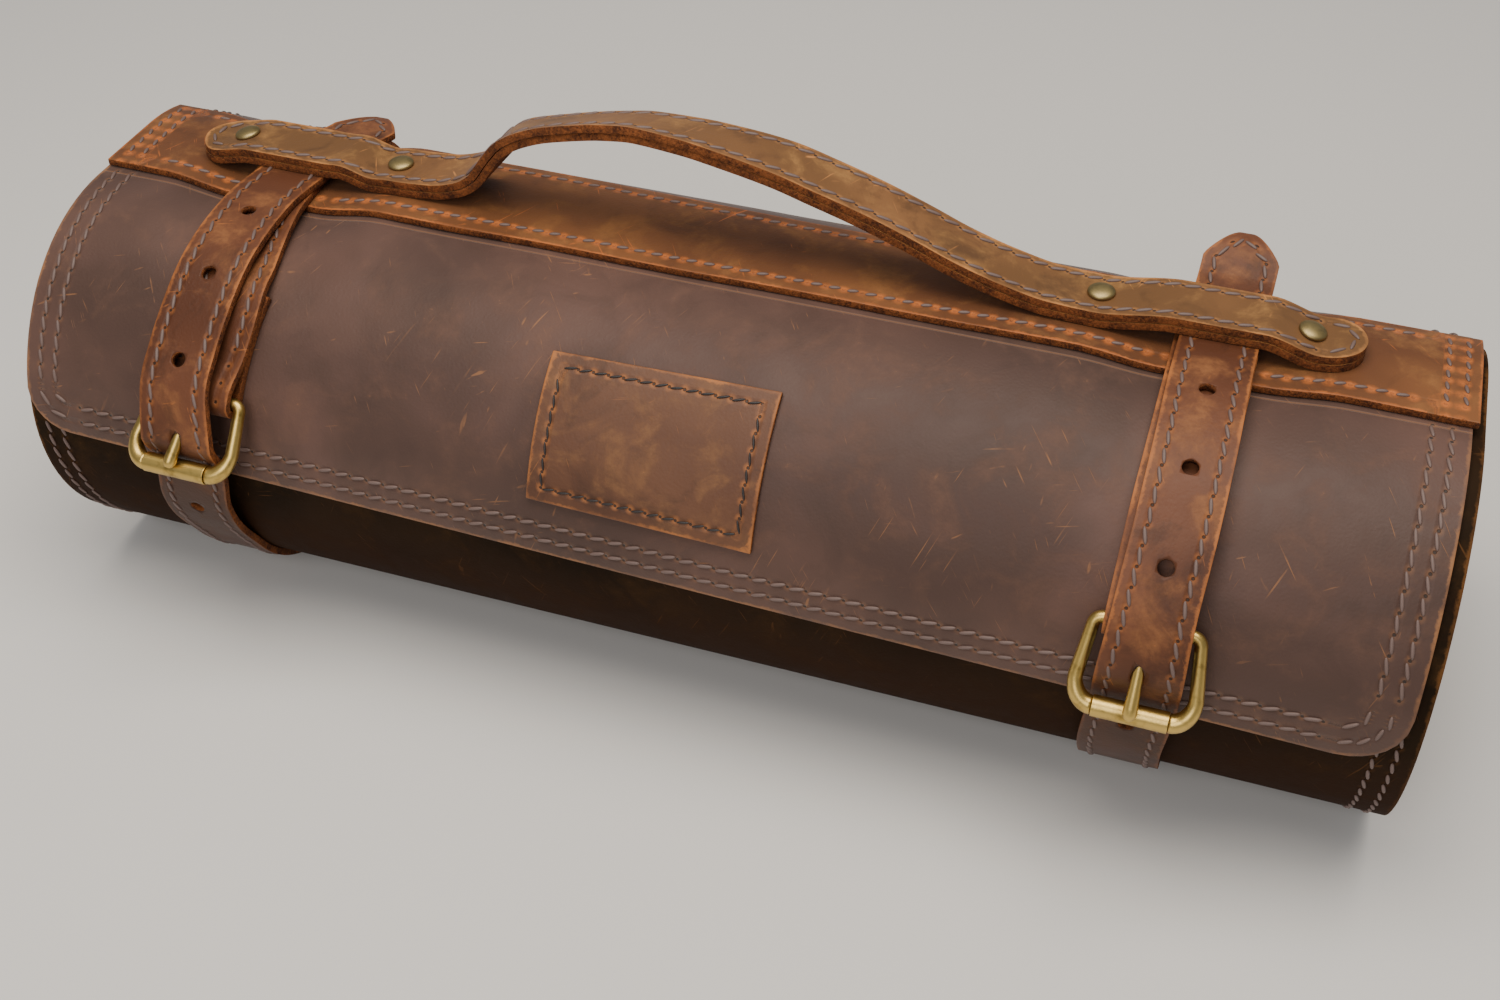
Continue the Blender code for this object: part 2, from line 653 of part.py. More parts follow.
def handle_z(x):
    """The height of the seam between the handle's two leathers."""
    hump = 0.0
    for side, (before, after) in RUN_DOWN.items():
        under = strap_x(side, quarter), strap_x(side, handle_front + turn), strap_x(side, handle_rear + turn)
        low = min(under[0] - STRAP_WIDTH / 2, min(under[1:]) - STRAP_FREE_WIDTH / 2) - 2 * CLEARANCE
        high = max(under[0] + STRAP_WIDTH / 2, max(under[1:]) + STRAP_FREE_WIDTH / 2) + 2 * CLEARANCE
        away = 1 - ramp(low - x, 0, before) if x < low else 1 - ramp(x - high, 0, after)
        hump = max(hump, 2 * strap_pitch * away)
    arch = ARCH_RISE * through(ARCH, (x - arch_start) / (arch_end - arch_start))
    return on_panel_z - dent(x, quarter + HANDLE_SHIFT_BACK) + stack / 2 + hump + arch


def handle_tilt(x):
    """The arch leans: its front edge is higher than its rear edge left of the middle."""
    share = (x - arch_start) / (arch_end - arch_start)
    return ARCH_TILT * ramp(share, 0.1, 0.25) * (1 - ramp(share, 0.3, 0.62))


def handle_frame(x):
    """A point of the seam and the way out from it."""
    slope = (handle_z(x + 0.0004) - handle_z(x - 0.0004)) / 0.0008
    return Vector((x, HANDLE_SHIFT_BACK, handle_z(x))), Vector((-slope, 0, 1)).normalized()


handle_start = rivet_x["left_outer"] - HANDLE_END["left"]
handle_end = rivet_x["right_outer"] + HANDLE_END["right"]
half_width = HANDLE_WIDTH / 2
fold_start, fold_end = (arch_start + share * (arch_end - arch_start) for share in (0.08, 0.24))
end_rows = [half_width * share for share in (0, 0.03, 0.12, 0.28, 0.55, 1)]
handle_rows = [handle_start + row for row in end_rows]
handle_rows += spaced(handle_start + half_width, fold_start, 0.0036)[1:]
handle_rows += spaced(fold_start, fold_end, 0.0019)[1:]
handle_rows += spaced(fold_end, arch_end, 0.0085)[1:]
handle_rows += spaced(arch_end, handle_end - half_width, 0.0029)[1:]
handle_rows += [handle_end - row for row in reversed(end_rows[:-1])]


def handle_half(x):
    near_end = min(x - handle_start, handle_end - x, half_width)
    return max(math.sqrt(half_width**2 - (half_width - near_end) ** 2), 0.0012)


handle_layers = []
for number, layer in enumerate(("lower", "upper")):
    lift = (number - 0.5) * (HANDLE_LAYER + CLEARANCE)

    def place_handle(x, share):
        point, out = handle_frame(x)
        lean = Vector((0, 0, -handle_tilt(x) * share))
        return point + out * lift + Vector((0, share * handle_half(x), 0)) + lean

    handle_layers.append(
        leather(f"handle_{layer}_layer", handle_rows, (-1, -0.4, 0.4, 1), place_handle, HANDLE_LAYER, OLIVE_BROWN)
    )

# The rivets stand square to the handle where their caps touch it. Their posts pass through
# it and the panel.
cap_radius, post_radius = RIVET_CAP / 2, RIVET_POST / 2
for name, x in rivet_x.items():
    tops = []
    for step in range(-4, 5):
        point, up = handle_frame(x + cap_radius * step / 4)
        tops.append(point + up * stack / 2)
    chord = (tops[-1] - tops[0]).normalized()
    out = Vector((-chord.z, 0, chord.x))
    seat = (tops[0] + tops[-1]) / 2
    seat += out * (max((top - seat).dot(out) for top in tops) + CLEARANCE)
    down = (seat.z - (ROLL_HEIGHT + FLAP_FACE + CLEARANCE)) / out.z - post_radius * abs(out.x)
    bm = bmesh.new()
    outline = [(0.0, RIVET_DOME)]
    outline += [
        (cap_radius * math.sin(math.radians(a)), RIVET_DOME * (0.25 + 0.75 * math.cos(math.radians(a))))
        for a in (22, 44, 66, 90)
    ]
    outline += [(cap_radius * 0.96, 0.0), (post_radius, 0.0), (post_radius, -down), (0.0, -down)]
    verts = [bm.verts.new((x_out, 0, z_up)) for x_out, z_up in outline]
    for a, b in zip(verts, verts[1:]):
        bm.edges.new((a, b))
    rivet = add("rivet_" + name, mesh_of(bm, "rivet_" + name), BRASS, 0.35, 1.0)
    rivet.matrix_world = Matrix.Translation(seat) @ out.to_track_quat("Z", "X").to_matrix().to_4x4()
    turned = rivet.modifiers.new("turned", "SCREW")
    turned.steps = turned.render_steps = 16
    turned.use_merge_vertices = True
    turned.merge_threshold = 0.00001
    turned.use_smooth_shade = True
    middle = seat - out * down / 2
    matrix = Matrix.Translation(middle) @ out.to_track_quat("Z", "X").to_matrix().to_4x4()
    hole = cylinder("rivet_hole_" + name, post_radius + CLEARANCE, down + 0.006, matrix, 12)
    for made in (*handle_layers, panel):
        cut(made, hole)

# The middle of the base goes to the origin.
bpy.context.view_layer.update()
depsgraph = bpy.context.evaluated_depsgraph_get()
corners = []
for made in parts.objects:
    if made.type == "MESH":
        evaluated = made.evaluated_get(depsgraph)
        corners += [evaluated.matrix_world @ Vector(corner) for corner in evaluated.bound_box]
lows = [min(corner[axis] for corner in corners) for axis in range(3)]
highs = [max(corner[axis] for corner in corners) for axis in range(3)]
base.location = (-(lows[0] + highs[0]) / 2, -(lows[1] + highs[1]) / 2, -lows[2])
print("base moved by", tuple(round(value, 5) for value in base.location))
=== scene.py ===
# %% [markdown]
# # A leather chef's knife roll
# The CAD frame gives each piece its true size and place. Here every leather is built again as
# a fine curved sheet with cut edges, thread and wear, and every brass fitting as smooth metal.

# %% Load the frame
import bisect
import math
import random
from functools import partial, reduce

import bmesh
import bpy
from mathutils import Matrix, Vector, noise


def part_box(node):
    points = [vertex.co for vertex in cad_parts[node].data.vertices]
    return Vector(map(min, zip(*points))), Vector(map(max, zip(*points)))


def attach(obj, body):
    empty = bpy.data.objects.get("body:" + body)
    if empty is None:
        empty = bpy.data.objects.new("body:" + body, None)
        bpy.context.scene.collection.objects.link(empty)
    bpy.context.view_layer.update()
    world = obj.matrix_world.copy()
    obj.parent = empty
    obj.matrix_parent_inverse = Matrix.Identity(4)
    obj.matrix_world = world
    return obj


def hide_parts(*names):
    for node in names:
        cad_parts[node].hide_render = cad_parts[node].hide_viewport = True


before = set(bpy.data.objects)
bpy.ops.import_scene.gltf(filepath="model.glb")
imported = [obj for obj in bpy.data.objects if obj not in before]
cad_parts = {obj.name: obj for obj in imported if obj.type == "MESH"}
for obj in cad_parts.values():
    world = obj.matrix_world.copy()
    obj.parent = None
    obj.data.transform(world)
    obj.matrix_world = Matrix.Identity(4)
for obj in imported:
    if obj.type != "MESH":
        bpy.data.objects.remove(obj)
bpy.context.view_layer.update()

random.seed(11)
MM, CM = 0.001, 0.01
SIDES = ("left", "right")

# %% [markdown]
# ## The section
# The filled roll is flat where it lies, rounder at its shoulders and flatter at front and
# back. One function follows that outline: give it a distance of travel and it gives a point
# and the way out. Everything that lies on the roll is placed by it, so nothing floats.

# %% Follow the section
ROLL_LENGTH, ROLL_DEPTH, ROLL_HEIGHT = 460 * MM, 162 * MM, 137 * MM
FLAT_WIDTH = 32 * MM
SHOULDER_ANGLE = math.radians(50)
BASE = Vector((-0.34, 8.49, 0.6)) * MM

half_depth, half_height, half_flat = ROLL_DEPTH / 2, ROLL_HEIGHT / 2, FLAT_WIDTH / 2
side_angle = math.pi / 2 - SHOULDER_ANGLE
sin_a, cos_a = math.sin(SHOULDER_ANGLE), math.cos(SHOULDER_ANGLE)
det = sin_a * cos_a - (1 - sin_a) * (1 - cos_a)
corner_radius = (cos_a * (half_depth - half_flat) - (1 - sin_a) * half_height) / det
side_radius = (sin_a * half_height - (1 - cos_a) * (half_depth - half_flat)) / det
side_arc, corner_arc = side_radius * side_angle, corner_radius * SHOULDER_ANGLE
quarter = side_arc + corner_arc + half_flat
turn = 4 * quarter


def section(travel, off=0.0):
    """The point `off` outside the section after `travel` up from the front, and the way out."""
    s = (travel + 2 * quarter) % turn - 2 * quarter
    below, s = s < 0, abs(s)
    behind = s > quarter
    if behind:
        s = 2 * quarter - s
    if s <= side_arc:
        angle = s / side_radius
        y, z = side_radius - half_depth - side_radius * math.cos(angle), side_radius * math.sin(angle)
    elif s <= side_arc + corner_arc:
        angle = side_angle + (s - side_arc) / corner_radius
        y = -half_flat - corner_radius * math.cos(angle)
        z = half_height - corner_radius + corner_radius * math.sin(angle)
    else:
        angle = math.pi / 2
        y, z = -half_flat + s - side_arc - corner_arc, half_height
    out_y, out_z = -math.cos(angle), math.sin(angle)
    if behind:
        y, out_y = -y, -out_y
    if below:
        z, out_z = -z, -out_z
    point = Vector((0, y + off * out_y, half_height + z + off * out_z)) + BASE
    return point, Vector((0, out_y, out_z))


def ramp(value, start, end):
    """0 up to `start`, 1 from `end`, smooth between."""
    share = min(max((value - start) / (end - start), 0.0), 1.0)
    return share * share * (3 - 2 * share)


def through(table, at):
    """A smooth curve through a table of pairs, without overshoot."""
    steps = [(b[0] - a[0], (b[1] - a[1]) / (b[0] - a[0])) for a, b in zip(table, table[1:])]
    slopes = [0.0]
    for (width0, slope0), (width1, slope1) in zip(steps, steps[1:]):
        rising = slope0 * slope1 > 0
        weight0, weight1 = 2 * width1 + width0, width1 + 2 * width0
        slopes.append((weight0 + weight1) / (weight0 / slope0 + weight1 / slope1) if rising else 0.0)
    slopes.append(0.0)
    if at <= table[0][0]:
        return table[0][1]
    for i, (width, _) in enumerate(steps):
        if at <= table[i + 1][0]:
            t = (at - table[i][0]) / width
            return (
                table[i][1] * (1 + 2 * t) * (1 - t) ** 2
                + table[i + 1][1] * t * t * (3 - 2 * t)
                + width * (slopes[i] * t * (1 - t) ** 2 - slopes[i + 1] * t * t * (1 - t))
            )
    return table[-1][1]


def spaced(start, end, step):
    """Evenly spaced values from start to end, about a step apart."""
    count = max(1, round(abs(end - start) / step))
    return [start + (end - start) * i / count for i in range(count + 1)]


def edged(start, end, step, rim=0.7 * MM):
    """Spaced values with one more close to each end, so that a rounded edge stays narrow."""
    way = 1 if end > start else -1
    return [start] + spaced(start + way * rim, end - way * rim, step) + [end]


print("once round the section", round(turn / MM, 1), "mm")

# %% [markdown]
# ## Colour and nodes
# Colours are read off as hex values, the way a colour picker shows them, and made linear for
# the shader. A table names the steps that the finishes are made of, and one function adds a
# step to a material, so a finish reads as a recipe.

# %% Shader helpers
MATHS = (
    "ADD", "SUBTRACT", "MULTIPLY", "DIVIDE", "POWER", "SQRT", "ABSOLUTE", "FRACT", "MINIMUM", "MAXIMUM",
    "ARCTAN2",
)
# A step is a node, its settings, the inputs that take its values, and the output that it gives.
STEPS = {name: ("Math", {"operation": name}, (0, 1), 0) for name in MATHS}
STEPS |= {
    "FADE": (
        "MapRange", {"interpolation_type": "SMOOTHSTEP"},
        ("Value", "From Min", "From Max", "To Min", "To Max"), 0),
    "BLEND": ("Mix", {"data_type": "RGBA"}, (0, 6, 7), 2),
    "PLACE": ("TexCoord", {}, (), "Object"),
    "SEAM": ("UVMap", {"uv_map": "size"}, (), "UV"),
    "SPLIT": ("SeparateXYZ", {}, (0,), slice(0, 3)),
    "JOIN": ("CombineXYZ", {}, (0, 1), 0),
    "STRETCH": ("Mapping", {"vector_type": "TEXTURE"}, ("Vector", "Location", "Rotation", "Scale"), 0),
    "CLOUDS": ("TexNoise", {}, ("Vector", "Scale", "Detail", "Roughness", "Distortion"), "Fac"),
    "PORES": ("TexVoronoi", {"feature": "SMOOTH_F1"}, ("Vector", "Scale"), 0),
    "BUMP": ("Bump", {}, ("Height", "Distance", "Strength"), 0),
}


def hexed(code):
    """A linear RGBA colour from an sRGB hex code."""
    values = [int(code[i:i + 2], 16) / 255 for i in (1, 3, 5)]
    linear = [v / 12.92 if v <= 0.04045 else ((v + 0.055) / 1.055) ** 2.4 for v in values]
    return (*linear, 1.0)


def put(tree, made, inputs):
    """Sets each input of a node, or links it where its value comes from another node."""
    for key, value in inputs.items():
        if isinstance(value, bpy.types.NodeSocket):
            tree.links.new(value, made.inputs[key])
        else:
            made.inputs[key].default_value = value


def node(tree, step, *values):
    """Adds the node of one step, with its settings and values, and gives its output."""
    kind, settings, inputs, output = STEPS[step]
    made = tree.nodes.new("ShaderNode" + kind)
    for name, value in settings.items():
        setattr(made, name, value)
    put(tree, made, dict(zip(inputs, values)))
    return made.outputs[output]


def new_material(name):
    """A material, a function that adds a step to it, and one that fills in its shader."""
    made = bpy.data.materials.new(name)
    made.use_nodes = True
    tree = made.node_tree
    return made, partial(node, tree), partial(put, tree, tree.nodes["Principled BSDF"])


def plain_finish(name, colour, rough):
    """A finish of one colour and one roughness."""
    made, _, finish = new_material(name)
    finish({"Base Color": hexed(colour), "Roughness": rough})
    return made


print(len(STEPS), "kinds of step")

# %% [markdown]
# ## Oiled leather
# Pull-up leather is dyed, oiled and waxed. Where it bends or rubs, the wax moves and the
# leather turns paler, which gives soft blotches, rubbed edges and thin light scratches. It
# could be photographed, but layers of noise at real sizes keep it sharp at any distance. The
# UV map holds real centimetres: first along the seam, then in from the cut edge.

# %% Make the leather finish
STITCH_PITCH = 6 * MM
LINE_BELOW_TOP = 13.4 * MM
# Each kind of scratch: its width, its length in widths, its turn, and the noise it starts from.
SCRATCHES = (
    (1.1 * MM, 24, 0.45, 0.66), (0.9 * MM, 24, -0.7, 0.665), (1.3 * MM, 20, 1.35, 0.68),
    (0.8 * MM, 26, 2.6, 0.665), (3.2 * MM, 4, 0.15, 0.69), (2.4 * MM, 5, 1.15, 0.69),
)


def leather_finish(
        name, colours, rows, wear=0.5, marks=0.5, rough=0.55, crease=0.2, halo=0.5, shine=0.35,
        sheen=0.08, pitch=STITCH_PITCH, halo_size=2.1, hole_shade=0.9, painted_shade_height=78 * MM, lined=False):
    """Leather in four colours, from deep to rubbed. Its rows of stitches lie in from the edge."""
    deep, mid, pale, rubbed = [hexed(code) for code in colours]
    made, add, finish = new_material(name)
    where = add("PLACE")
    x, y, z = add("SPLIT", where)
    along, inset, _ = add("SPLIT", add("SEAM"))

    # Dye and wax: broad blotches, then a mottle of rubbed patches.
    blotch = add("CLOUDS", where, 1 / (75 * MM), 3.0, 0.5, 0.4)
    mottle = add("CLOUDS", where, 1 / (17 * MM), 7.0, 0.62, 0.5)
    fine = add("CLOUDS", where, 1 / (3.4 * MM), 6.0, 0.7)
    stains = add("CLOUDS", where, 1 / (24 * MM), 6.0, 0.65, 0.8)
    colour = add("BLEND", add("FADE", blotch, 0.36, 0.66), deep, mid)
    patches = add("MULTIPLY", add("FADE", mottle, 0.47, 0.68), add("FADE", fine, 0.3, 0.7, 0.35, 1.0))
    colour = add("BLEND", add("MULTIPLY", patches, wear), colour, pale)
    stained = add("MULTIPLY", add("FADE", stains, 0.5, 0.68), 0.55 * wear)
    colour = add("BLEND", stained, colour, hexed("#24140b"))

    # Scratches: noise drawn out into needles on the unrolled surface, each way in its own places.
    angle = add("ARCTAN2", add("SUBTRACT", z, half_height), add("SUBTRACT", y, BASE.y))
    unrolled = add("JOIN", x, add("MULTIPLY", angle, half_height))
    scratches = 0.0
    for width, drawn, turned, least in SCRATCHES:
        needle = add("STRETCH", unrolled, (turned, 0, 0), (0, 0, turned), (1, drawn, 1))
        lumps = add("CLOUDS", needle, 1 / width, 2.0, 0.55, 0.12)
        places = add("FADE", add("CLOUDS", where, 1 / (34 * MM), 3.0, 0.6, turned), 0.52, 0.64)
        line = add("MULTIPLY", add("FADE", lumps, least, least + 0.05), places)
        scratches = add("MAXIMUM", line, scratches)
    specks = add("MULTIPLY", add("FADE", fine, 0.66, 0.74), add("FADE", mottle, 0.5, 0.62, 0.0, 0.7))
    scratches = add("MAXIMUM", specks, scratches)
    colour = add("BLEND", add("MULTIPLY", scratches, marks), colour, rubbed)

    # The cut edge is rubbed bare, unevenly.
    ragged = add("FADE", fine, 0.25, 0.75, 0.05, 0.21)
    edge = add("FADE", add("DIVIDE", inset, ragged), 0.35, 1.0, 1.0, 0.0)
    edge = add("MULTIPLY", edge, add("FADE", mottle, 0.38, 0.62, 0.15, 0.7))
    colour = add("BLEND", edge, colour, rubbed)

    # Stitch holes lie a pitch apart on the rows. How near the next one is, in millimetres.
    count = add("FRACT", add("DIVIDE", along, pitch / CM))
    gap = add("SUBTRACT", 0.5, add("ABSOLUTE", add("SUBTRACT", count, 0.5)))
    gap = add("MULTIPLY", gap, pitch / MM)
    inset_mm = add("MULTIPLY", inset, CM / MM)
    asides = [add("ABSOLUTE", add("SUBTRACT", inset_mm, row / MM)) for row in rows]
    away = reduce(partial(add, "MINIMUM"), asides)
    near = add("SQRT", add("ADD", add("POWER", gap, 2.0), add("POWER", away, 2.0)))

    # Each hole is painted dark for the shade in its pit, with a halo where the thread rubbed, and the
    # seam is pulled in.
    halo_here = add("FADE", fine, 0.35, 0.6, 0.35, 1.0)
    ring = add("MULTIPLY", add("FADE", near, 0.3, halo_size, halo, 0.0), halo_here)
    colour = add("BLEND", ring, colour, rubbed)
    hole = add("FADE", near, 0.35, 0.65, 1.0, 0.0)
    # Painted shade: the pit of each hole is blended towards near-black.
    colour = add("BLEND", add("MULTIPLY", hole, hole_shade), colour, hexed("#1d120c"))
    pulled = add("FADE", away, 0.3, 1.6, 1.0, 0.0)

    # Painted shade: below a set height the colour fades towards deep brown, standing in for the shade on
    # the lower part of the roll.
    under = add("FADE", z, 0.5 * painted_shade_height, painted_shade_height, 0.7, 0.0)
    colour = add("BLEND", under, colour, hexed("#2a1508"))

    # A creasing iron pressed one line along the roll, just below the panel.
    groove = 0.0
    if lined:
        line_at, _ = section(quarter - LINE_BELOW_TOP)
        line_angle = math.atan2(line_at.z - half_height, line_at.y - BASE.y)
        from_line = add("MULTIPLY", add("ABSOLUTE", add("SUBTRACT", angle, line_angle)), half_height)
        groove = add("FADE", from_line, 0.15 * MM, 0.6 * MM, 1.0, 0.0)
        colour = add("BLEND", add("MULTIPLY", groove, 0.3), colour, rubbed)

    # Grain: pores under a millimetre and creases of a few, then what is scratched and pressed in.
    pores = add("PORES", where, 1 / (0.9 * MM))
    creases = add("CLOUDS", where, 1 / (5 * MM), 5.0, 0.6, 0.8)
    height = add("MULTIPLY", pores, 0.14)
    for layer, share in (
            (creases, crease), (fine, 0.14), (scratches, -0.08), (pulled, -0.45), (hole, -0.6),
            (groove, -0.5)):
        height = add("ADD", height, add("MULTIPLY", layer, share))
    finish({
        "Base Color": colour, "Normal": add("BUMP", height, 0.5 * MM, 0.8),
        "Roughness": add("FADE", mottle, 0.35, 0.7, rough - 0.04, rough + 0.06),
        "Specular IOR Level": shine, "Sheen Weight": sheen, "Sheen Roughness": 0.5,
    })
    return made


FLAP_ROWS = (5.5 * MM, 11.2 * MM)
PANEL_ROWS = (6 * MM,)
STRAP_ROWS = (4 * MM,)
HANDLE_ROWS = (3 * MM,)
PATCH_ROWS, PATCH_PITCH = (4.8 * MM,), 5 * MM
roll_leather = leather_finish(
    "dark_waxed_leather", ("#422c23", "#593e34", "#6e4c39", "#9a683d"), FLAP_ROWS, wear=0.32,
    rough=0.58, crease=0.08, halo=0.3, sheen=0.18, lined=True)
# Painted shade: a darker, duller copy of the roll's leather for the sheet's lower turns, where less light
# falls.
painted_shade_leather = leather_finish(
    "painted_shade_roll_leather", ("#1a1209", "#291c10", "#402c18", "#6a4626"), FLAP_ROWS, wear=0.6,
    rough=0.7, crease=0.08, halo=0.3, shine=0.06, sheen=0.0)
panel_leather = leather_finish(
    "tan_waxed_leather", ("#5c361a", "#7a4c27", "#9a6836", "#bb672c"), PANEL_ROWS, marks=0.6,
    halo=1.0, shine=0.3, halo_size=2.8, hole_shade=0.2)
handle_leather = leather_finish(
    "olive_tan_waxed_leather", ("#634322", "#7f5630", "#a0733e", "#c08045"), HANDLE_ROWS, wear=0.75,
    marks=0.7, halo=0.4, shine=0.3)
# On the belts the painted shade reaches higher up.
strap_leather = leather_finish(
    "red_brown_waxed_leather", ("#4a2816", "#663d27", "#8d5b35", "#b06a34"), STRAP_ROWS, wear=0.8,
    marks=0.6, rough=0.52, crease=0.3, halo=0.45, shine=0.26, sheen=0.03, painted_shade_height=104 * MM)
patch_leather = leather_finish(
    "brown_patch_leather", ("#54331f", "#69452e", "#835a36", "#b56f36"), PATCH_ROWS, wear=0.7,
    crease=0.15, halo=0.6, pitch=PATCH_PITCH)
print("leathers", [made.name for made in bpy.data.materials if made.name.endswith("leather")])

# %% [markdown]
# ## Cut edges and flesh side
# A knife leaves the edge of thick leather raw: short fibres, orange where the dye stopped, with
# a darker core. The flesh side, which faces in, is just as matt and hairy, so it shares this
# finish.

# %% Make the raw edge


def raw_finish(name, dark, light):
    """Bare leather fibres, dark and light in clumps."""
    made, add, finish = new_material(name)
    where = add("PLACE")
    fibres = add("CLOUDS", where, 1 / (0.9 * MM), 4.0, 0.75, 0.6)
    lumps = add("CLOUDS", where, 1 / (6 * MM), 4.0, 0.6)
    share = add("ADD", add("MULTIPLY", fibres, 0.65), add("MULTIPLY", lumps, 0.4))
    finish({
        "Base Color": add("BLEND", add("FADE", share, 0.38, 0.66), hexed(dark), hexed(light)),
        "Normal": add("BUMP", fibres, 0.7 * MM, 1.0), "Roughness": 0.85, "Specular IOR Level": 0.25,
    })
    return made


raw_edge = raw_finish("raw_cut_leather_edge", "#3c1e10", "#8e5229")
print("edge", raw_edge.name)

# %% [markdown]
# ## Sheets of leather
# A piece of leather is a grid put in place point by point, then thickened both ways. The
# thickening also gives the cut edge and the side that faces in the raw finish, and a small
# bevel rounds the edge.

# %% Build a sheet of leather


def mesh_of(bm, name):
    """The finished mesh of an edited one, which it frees."""
    mesh = bpy.data.meshes.new(name)
    bm.to_mesh(mesh)
    bm.free()
    return mesh


def new_object(name, data):
    """An object in the scene that holds this mesh, curve, light or camera."""
    made = bpy.data.objects.new(name, data)
    bpy.context.scene.collection.objects.link(made)
    return made


def aimed(place, way):
    """A matrix that moves to a place and turns Z to point this way."""
    return Matrix.Translation(place) @ way.to_track_quat("Z", "X").to_matrix().to_4x4()


def leather(
        name, rows, columns, place, measure, thickness, finish, rim=0.4 * MM, edge=raw_edge,
        inner=None, painted_shade_from=math.inf):
    """A thick sheet. `place` gives its middle, `measure` its distance along and in from the edge."""
    bm = bmesh.new()
    bmesh.ops.create_grid(bm, x_segments=len(rows) - 1, y_segments=len(columns) - 1, size=0.5)
    layer, known = bm.loops.layers.uv.new("size"), {}
    for vert in bm.verts:
        row = rows[round((vert.co.x + 0.5) * (len(rows) - 1))]
        column = columns[round((vert.co.y + 0.5) * (len(columns) - 1))]
        vert.co, known[vert] = place(row, column), (*measure(row, column), row)
    for face in bm.faces:
        face.smooth = True
        # Faces past a given row take the third finish; the rolled sheet uses it for painted shade.
        face.material_index = 2 if known[face.verts[0]][-1] > painted_shade_from else 0
        for loop in face.loops:
            loop[layer].uv = [value / CM for value in known[loop.vert][:2]]
    bm.normal_update()
    axis = Vector((0, BASE.y, half_height))
    outward = sum(
        face.calc_area() * face.normal.yz.dot((face.calc_center_median() - axis).yz) for face in bm.faces)
    if outward < 0:
        bmesh.ops.reverse_faces(bm, faces=bm.faces)
    mesh = mesh_of(bm, name)
    for material in (finish, edge, inner, edge) if inner else (finish, edge):
        mesh.materials.append(material)
    made = new_object(name, mesh)
    thick = made.modifiers.new("thickness", "SOLIDIFY")
    thick.thickness, thick.offset, thick.use_even_offset = thickness, 0, True
    thick.material_offset = thick.material_offset_rim = 1
    if rim:
        soft = made.modifiers.new("rounded_edge", "BEVEL")
        soft.width, soft.segments, soft.angle_limit = rim, 2, math.radians(50)
    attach(made, "root")
    return made


def stands_for(made, slot, *nodes):
    """Hides the CAD nodes that a piece stands for, and prints how well it fits the first one's box."""
    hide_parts(*nodes)
    low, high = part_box(nodes[0])
    bpy.context.view_layer.update()
    box = [made.matrix_world @ Vector(c) for c in made.evaluated_get(
        bpy.context.evaluated_depsgraph_get()).bound_box]
    off = [abs(min(c[i] for c in box) - low[i]) for i in range(3)]
    off += [abs(max(c[i] for c in box) - high[i]) for i in range(3)]
    print(made.name, "is within", round(max(off) / MM, 2), "mm of", nodes[0])


print("sheet builder ready")

# %% [markdown]
# ## The rolled sheet
# One hide is wound a little over one and a half turns. Each turn lies one thickness further
# in, stepping in at the back. The flap's free edge slants, and its corners are cut round.

# %% Roll the big sheet
SHEET_THICKNESS, GAP = 2.4 * MM, 0.3 * MM
TURNS, FLAP_FACE = 1.65, 0.6 * MM
FLAP_CORNER = {"left": 15 * MM, "right": 19 * MM}
FLAP_EDGE_RISE, FLAP_EDGE_SLANT, FLAP_INSET = 1.9 * MM, 0.0238, 2 * MM
UNDER_END = {"left": 1.5 * MM, "right": 4.2 * MM}
STRAP_WIDTH, STRAP_THICKNESS = 25.6 * MM, 2.4 * MM
STRAP_X = {"left": -0.3587 * ROLL_LENGTH, "right": 0.3304 * ROLL_LENGTH}
DENT, DENT_REACH = {"left": 3.6 * MM, "right": 2.2 * MM}, 26 * MM
# How far each belt wanders to the side: quarter turns from the front, and widths of the belt.
WANDER = {
    "left": (
        (0.0, 0.32), (0.24, 0.2), (0.29, 0.2), (0.356, 0.24), (0.496, 0.3), (0.604, 0.26),
        (0.703, 0.18), (0.893, 0.04), (1.0, 0.0), (1.17, -0.07), (1.35, -0.24), (1.7, -0.3),
        (2.3, -0.28), (3.0, -0.2), (3.75, -0.1), (3.95, -0.04), (4.095, 0.1), (4.17, 0.11),
        (4.23, 0.09), (4.353, 0.03), (4.54, 0.035), (4.66, 0.03), (4.85, 0.02), (5.0, 0.1),
        (5.16, 0.26), (5.37, 0.43),
    ),
    "right": (
        (0.0, -0.02), (0.2, -0.035), (0.9, 0.0), (3.0, -0.06), (3.8, -0.11), (4.04, -0.035),
        (4.14, -0.02), (4.3, 0.0), (4.47, 0.03), (4.63, 0.035), (4.84, 0.02), (5.1, 0.03),
        (5.35, 0.06),
    ),
}
SWELL, SWELL_SIZE = 0.35 * MM, 45 * MM
wrap_pitch = SHEET_THICKNESS + GAP
step_start, step_end = 1.3 * quarter, 2.7 * quarter


def strap_x(side, travel):
    """The middle of a strap along the roll."""
    return BASE.x + STRAP_X[side] + STRAP_WIDTH * through(WANDER[side], travel / quarter)


def dent_share(travel):
    """The straps press dents into the top only."""
    rest = travel % turn
    return ramp(rest, 0.5 * quarter, 0.85 * quarter) * (1 - ramp(rest, 1.25 * quarter, 1.65 * quarter))


def dent(x, travel):
    """How far the straps press the leather in at this place."""
    share, depth, pressed = dent_share(travel), 0.0, 0.6 * STRAP_WIDTH
    if share:
        for side, deep in DENT.items():
            away = abs(x - strap_x(side, travel % turn))
            depth += deep * (1 - ramp(away, pressed, pressed + DENT_REACH))
    return depth * share


def sheet_face(travel):
    """How far outside the section the sheet's outer face lies."""
    turns, rest = divmod(travel, turn)
    return FLAP_FACE - wrap_pitch * (turns + ramp(rest, step_start, step_end))


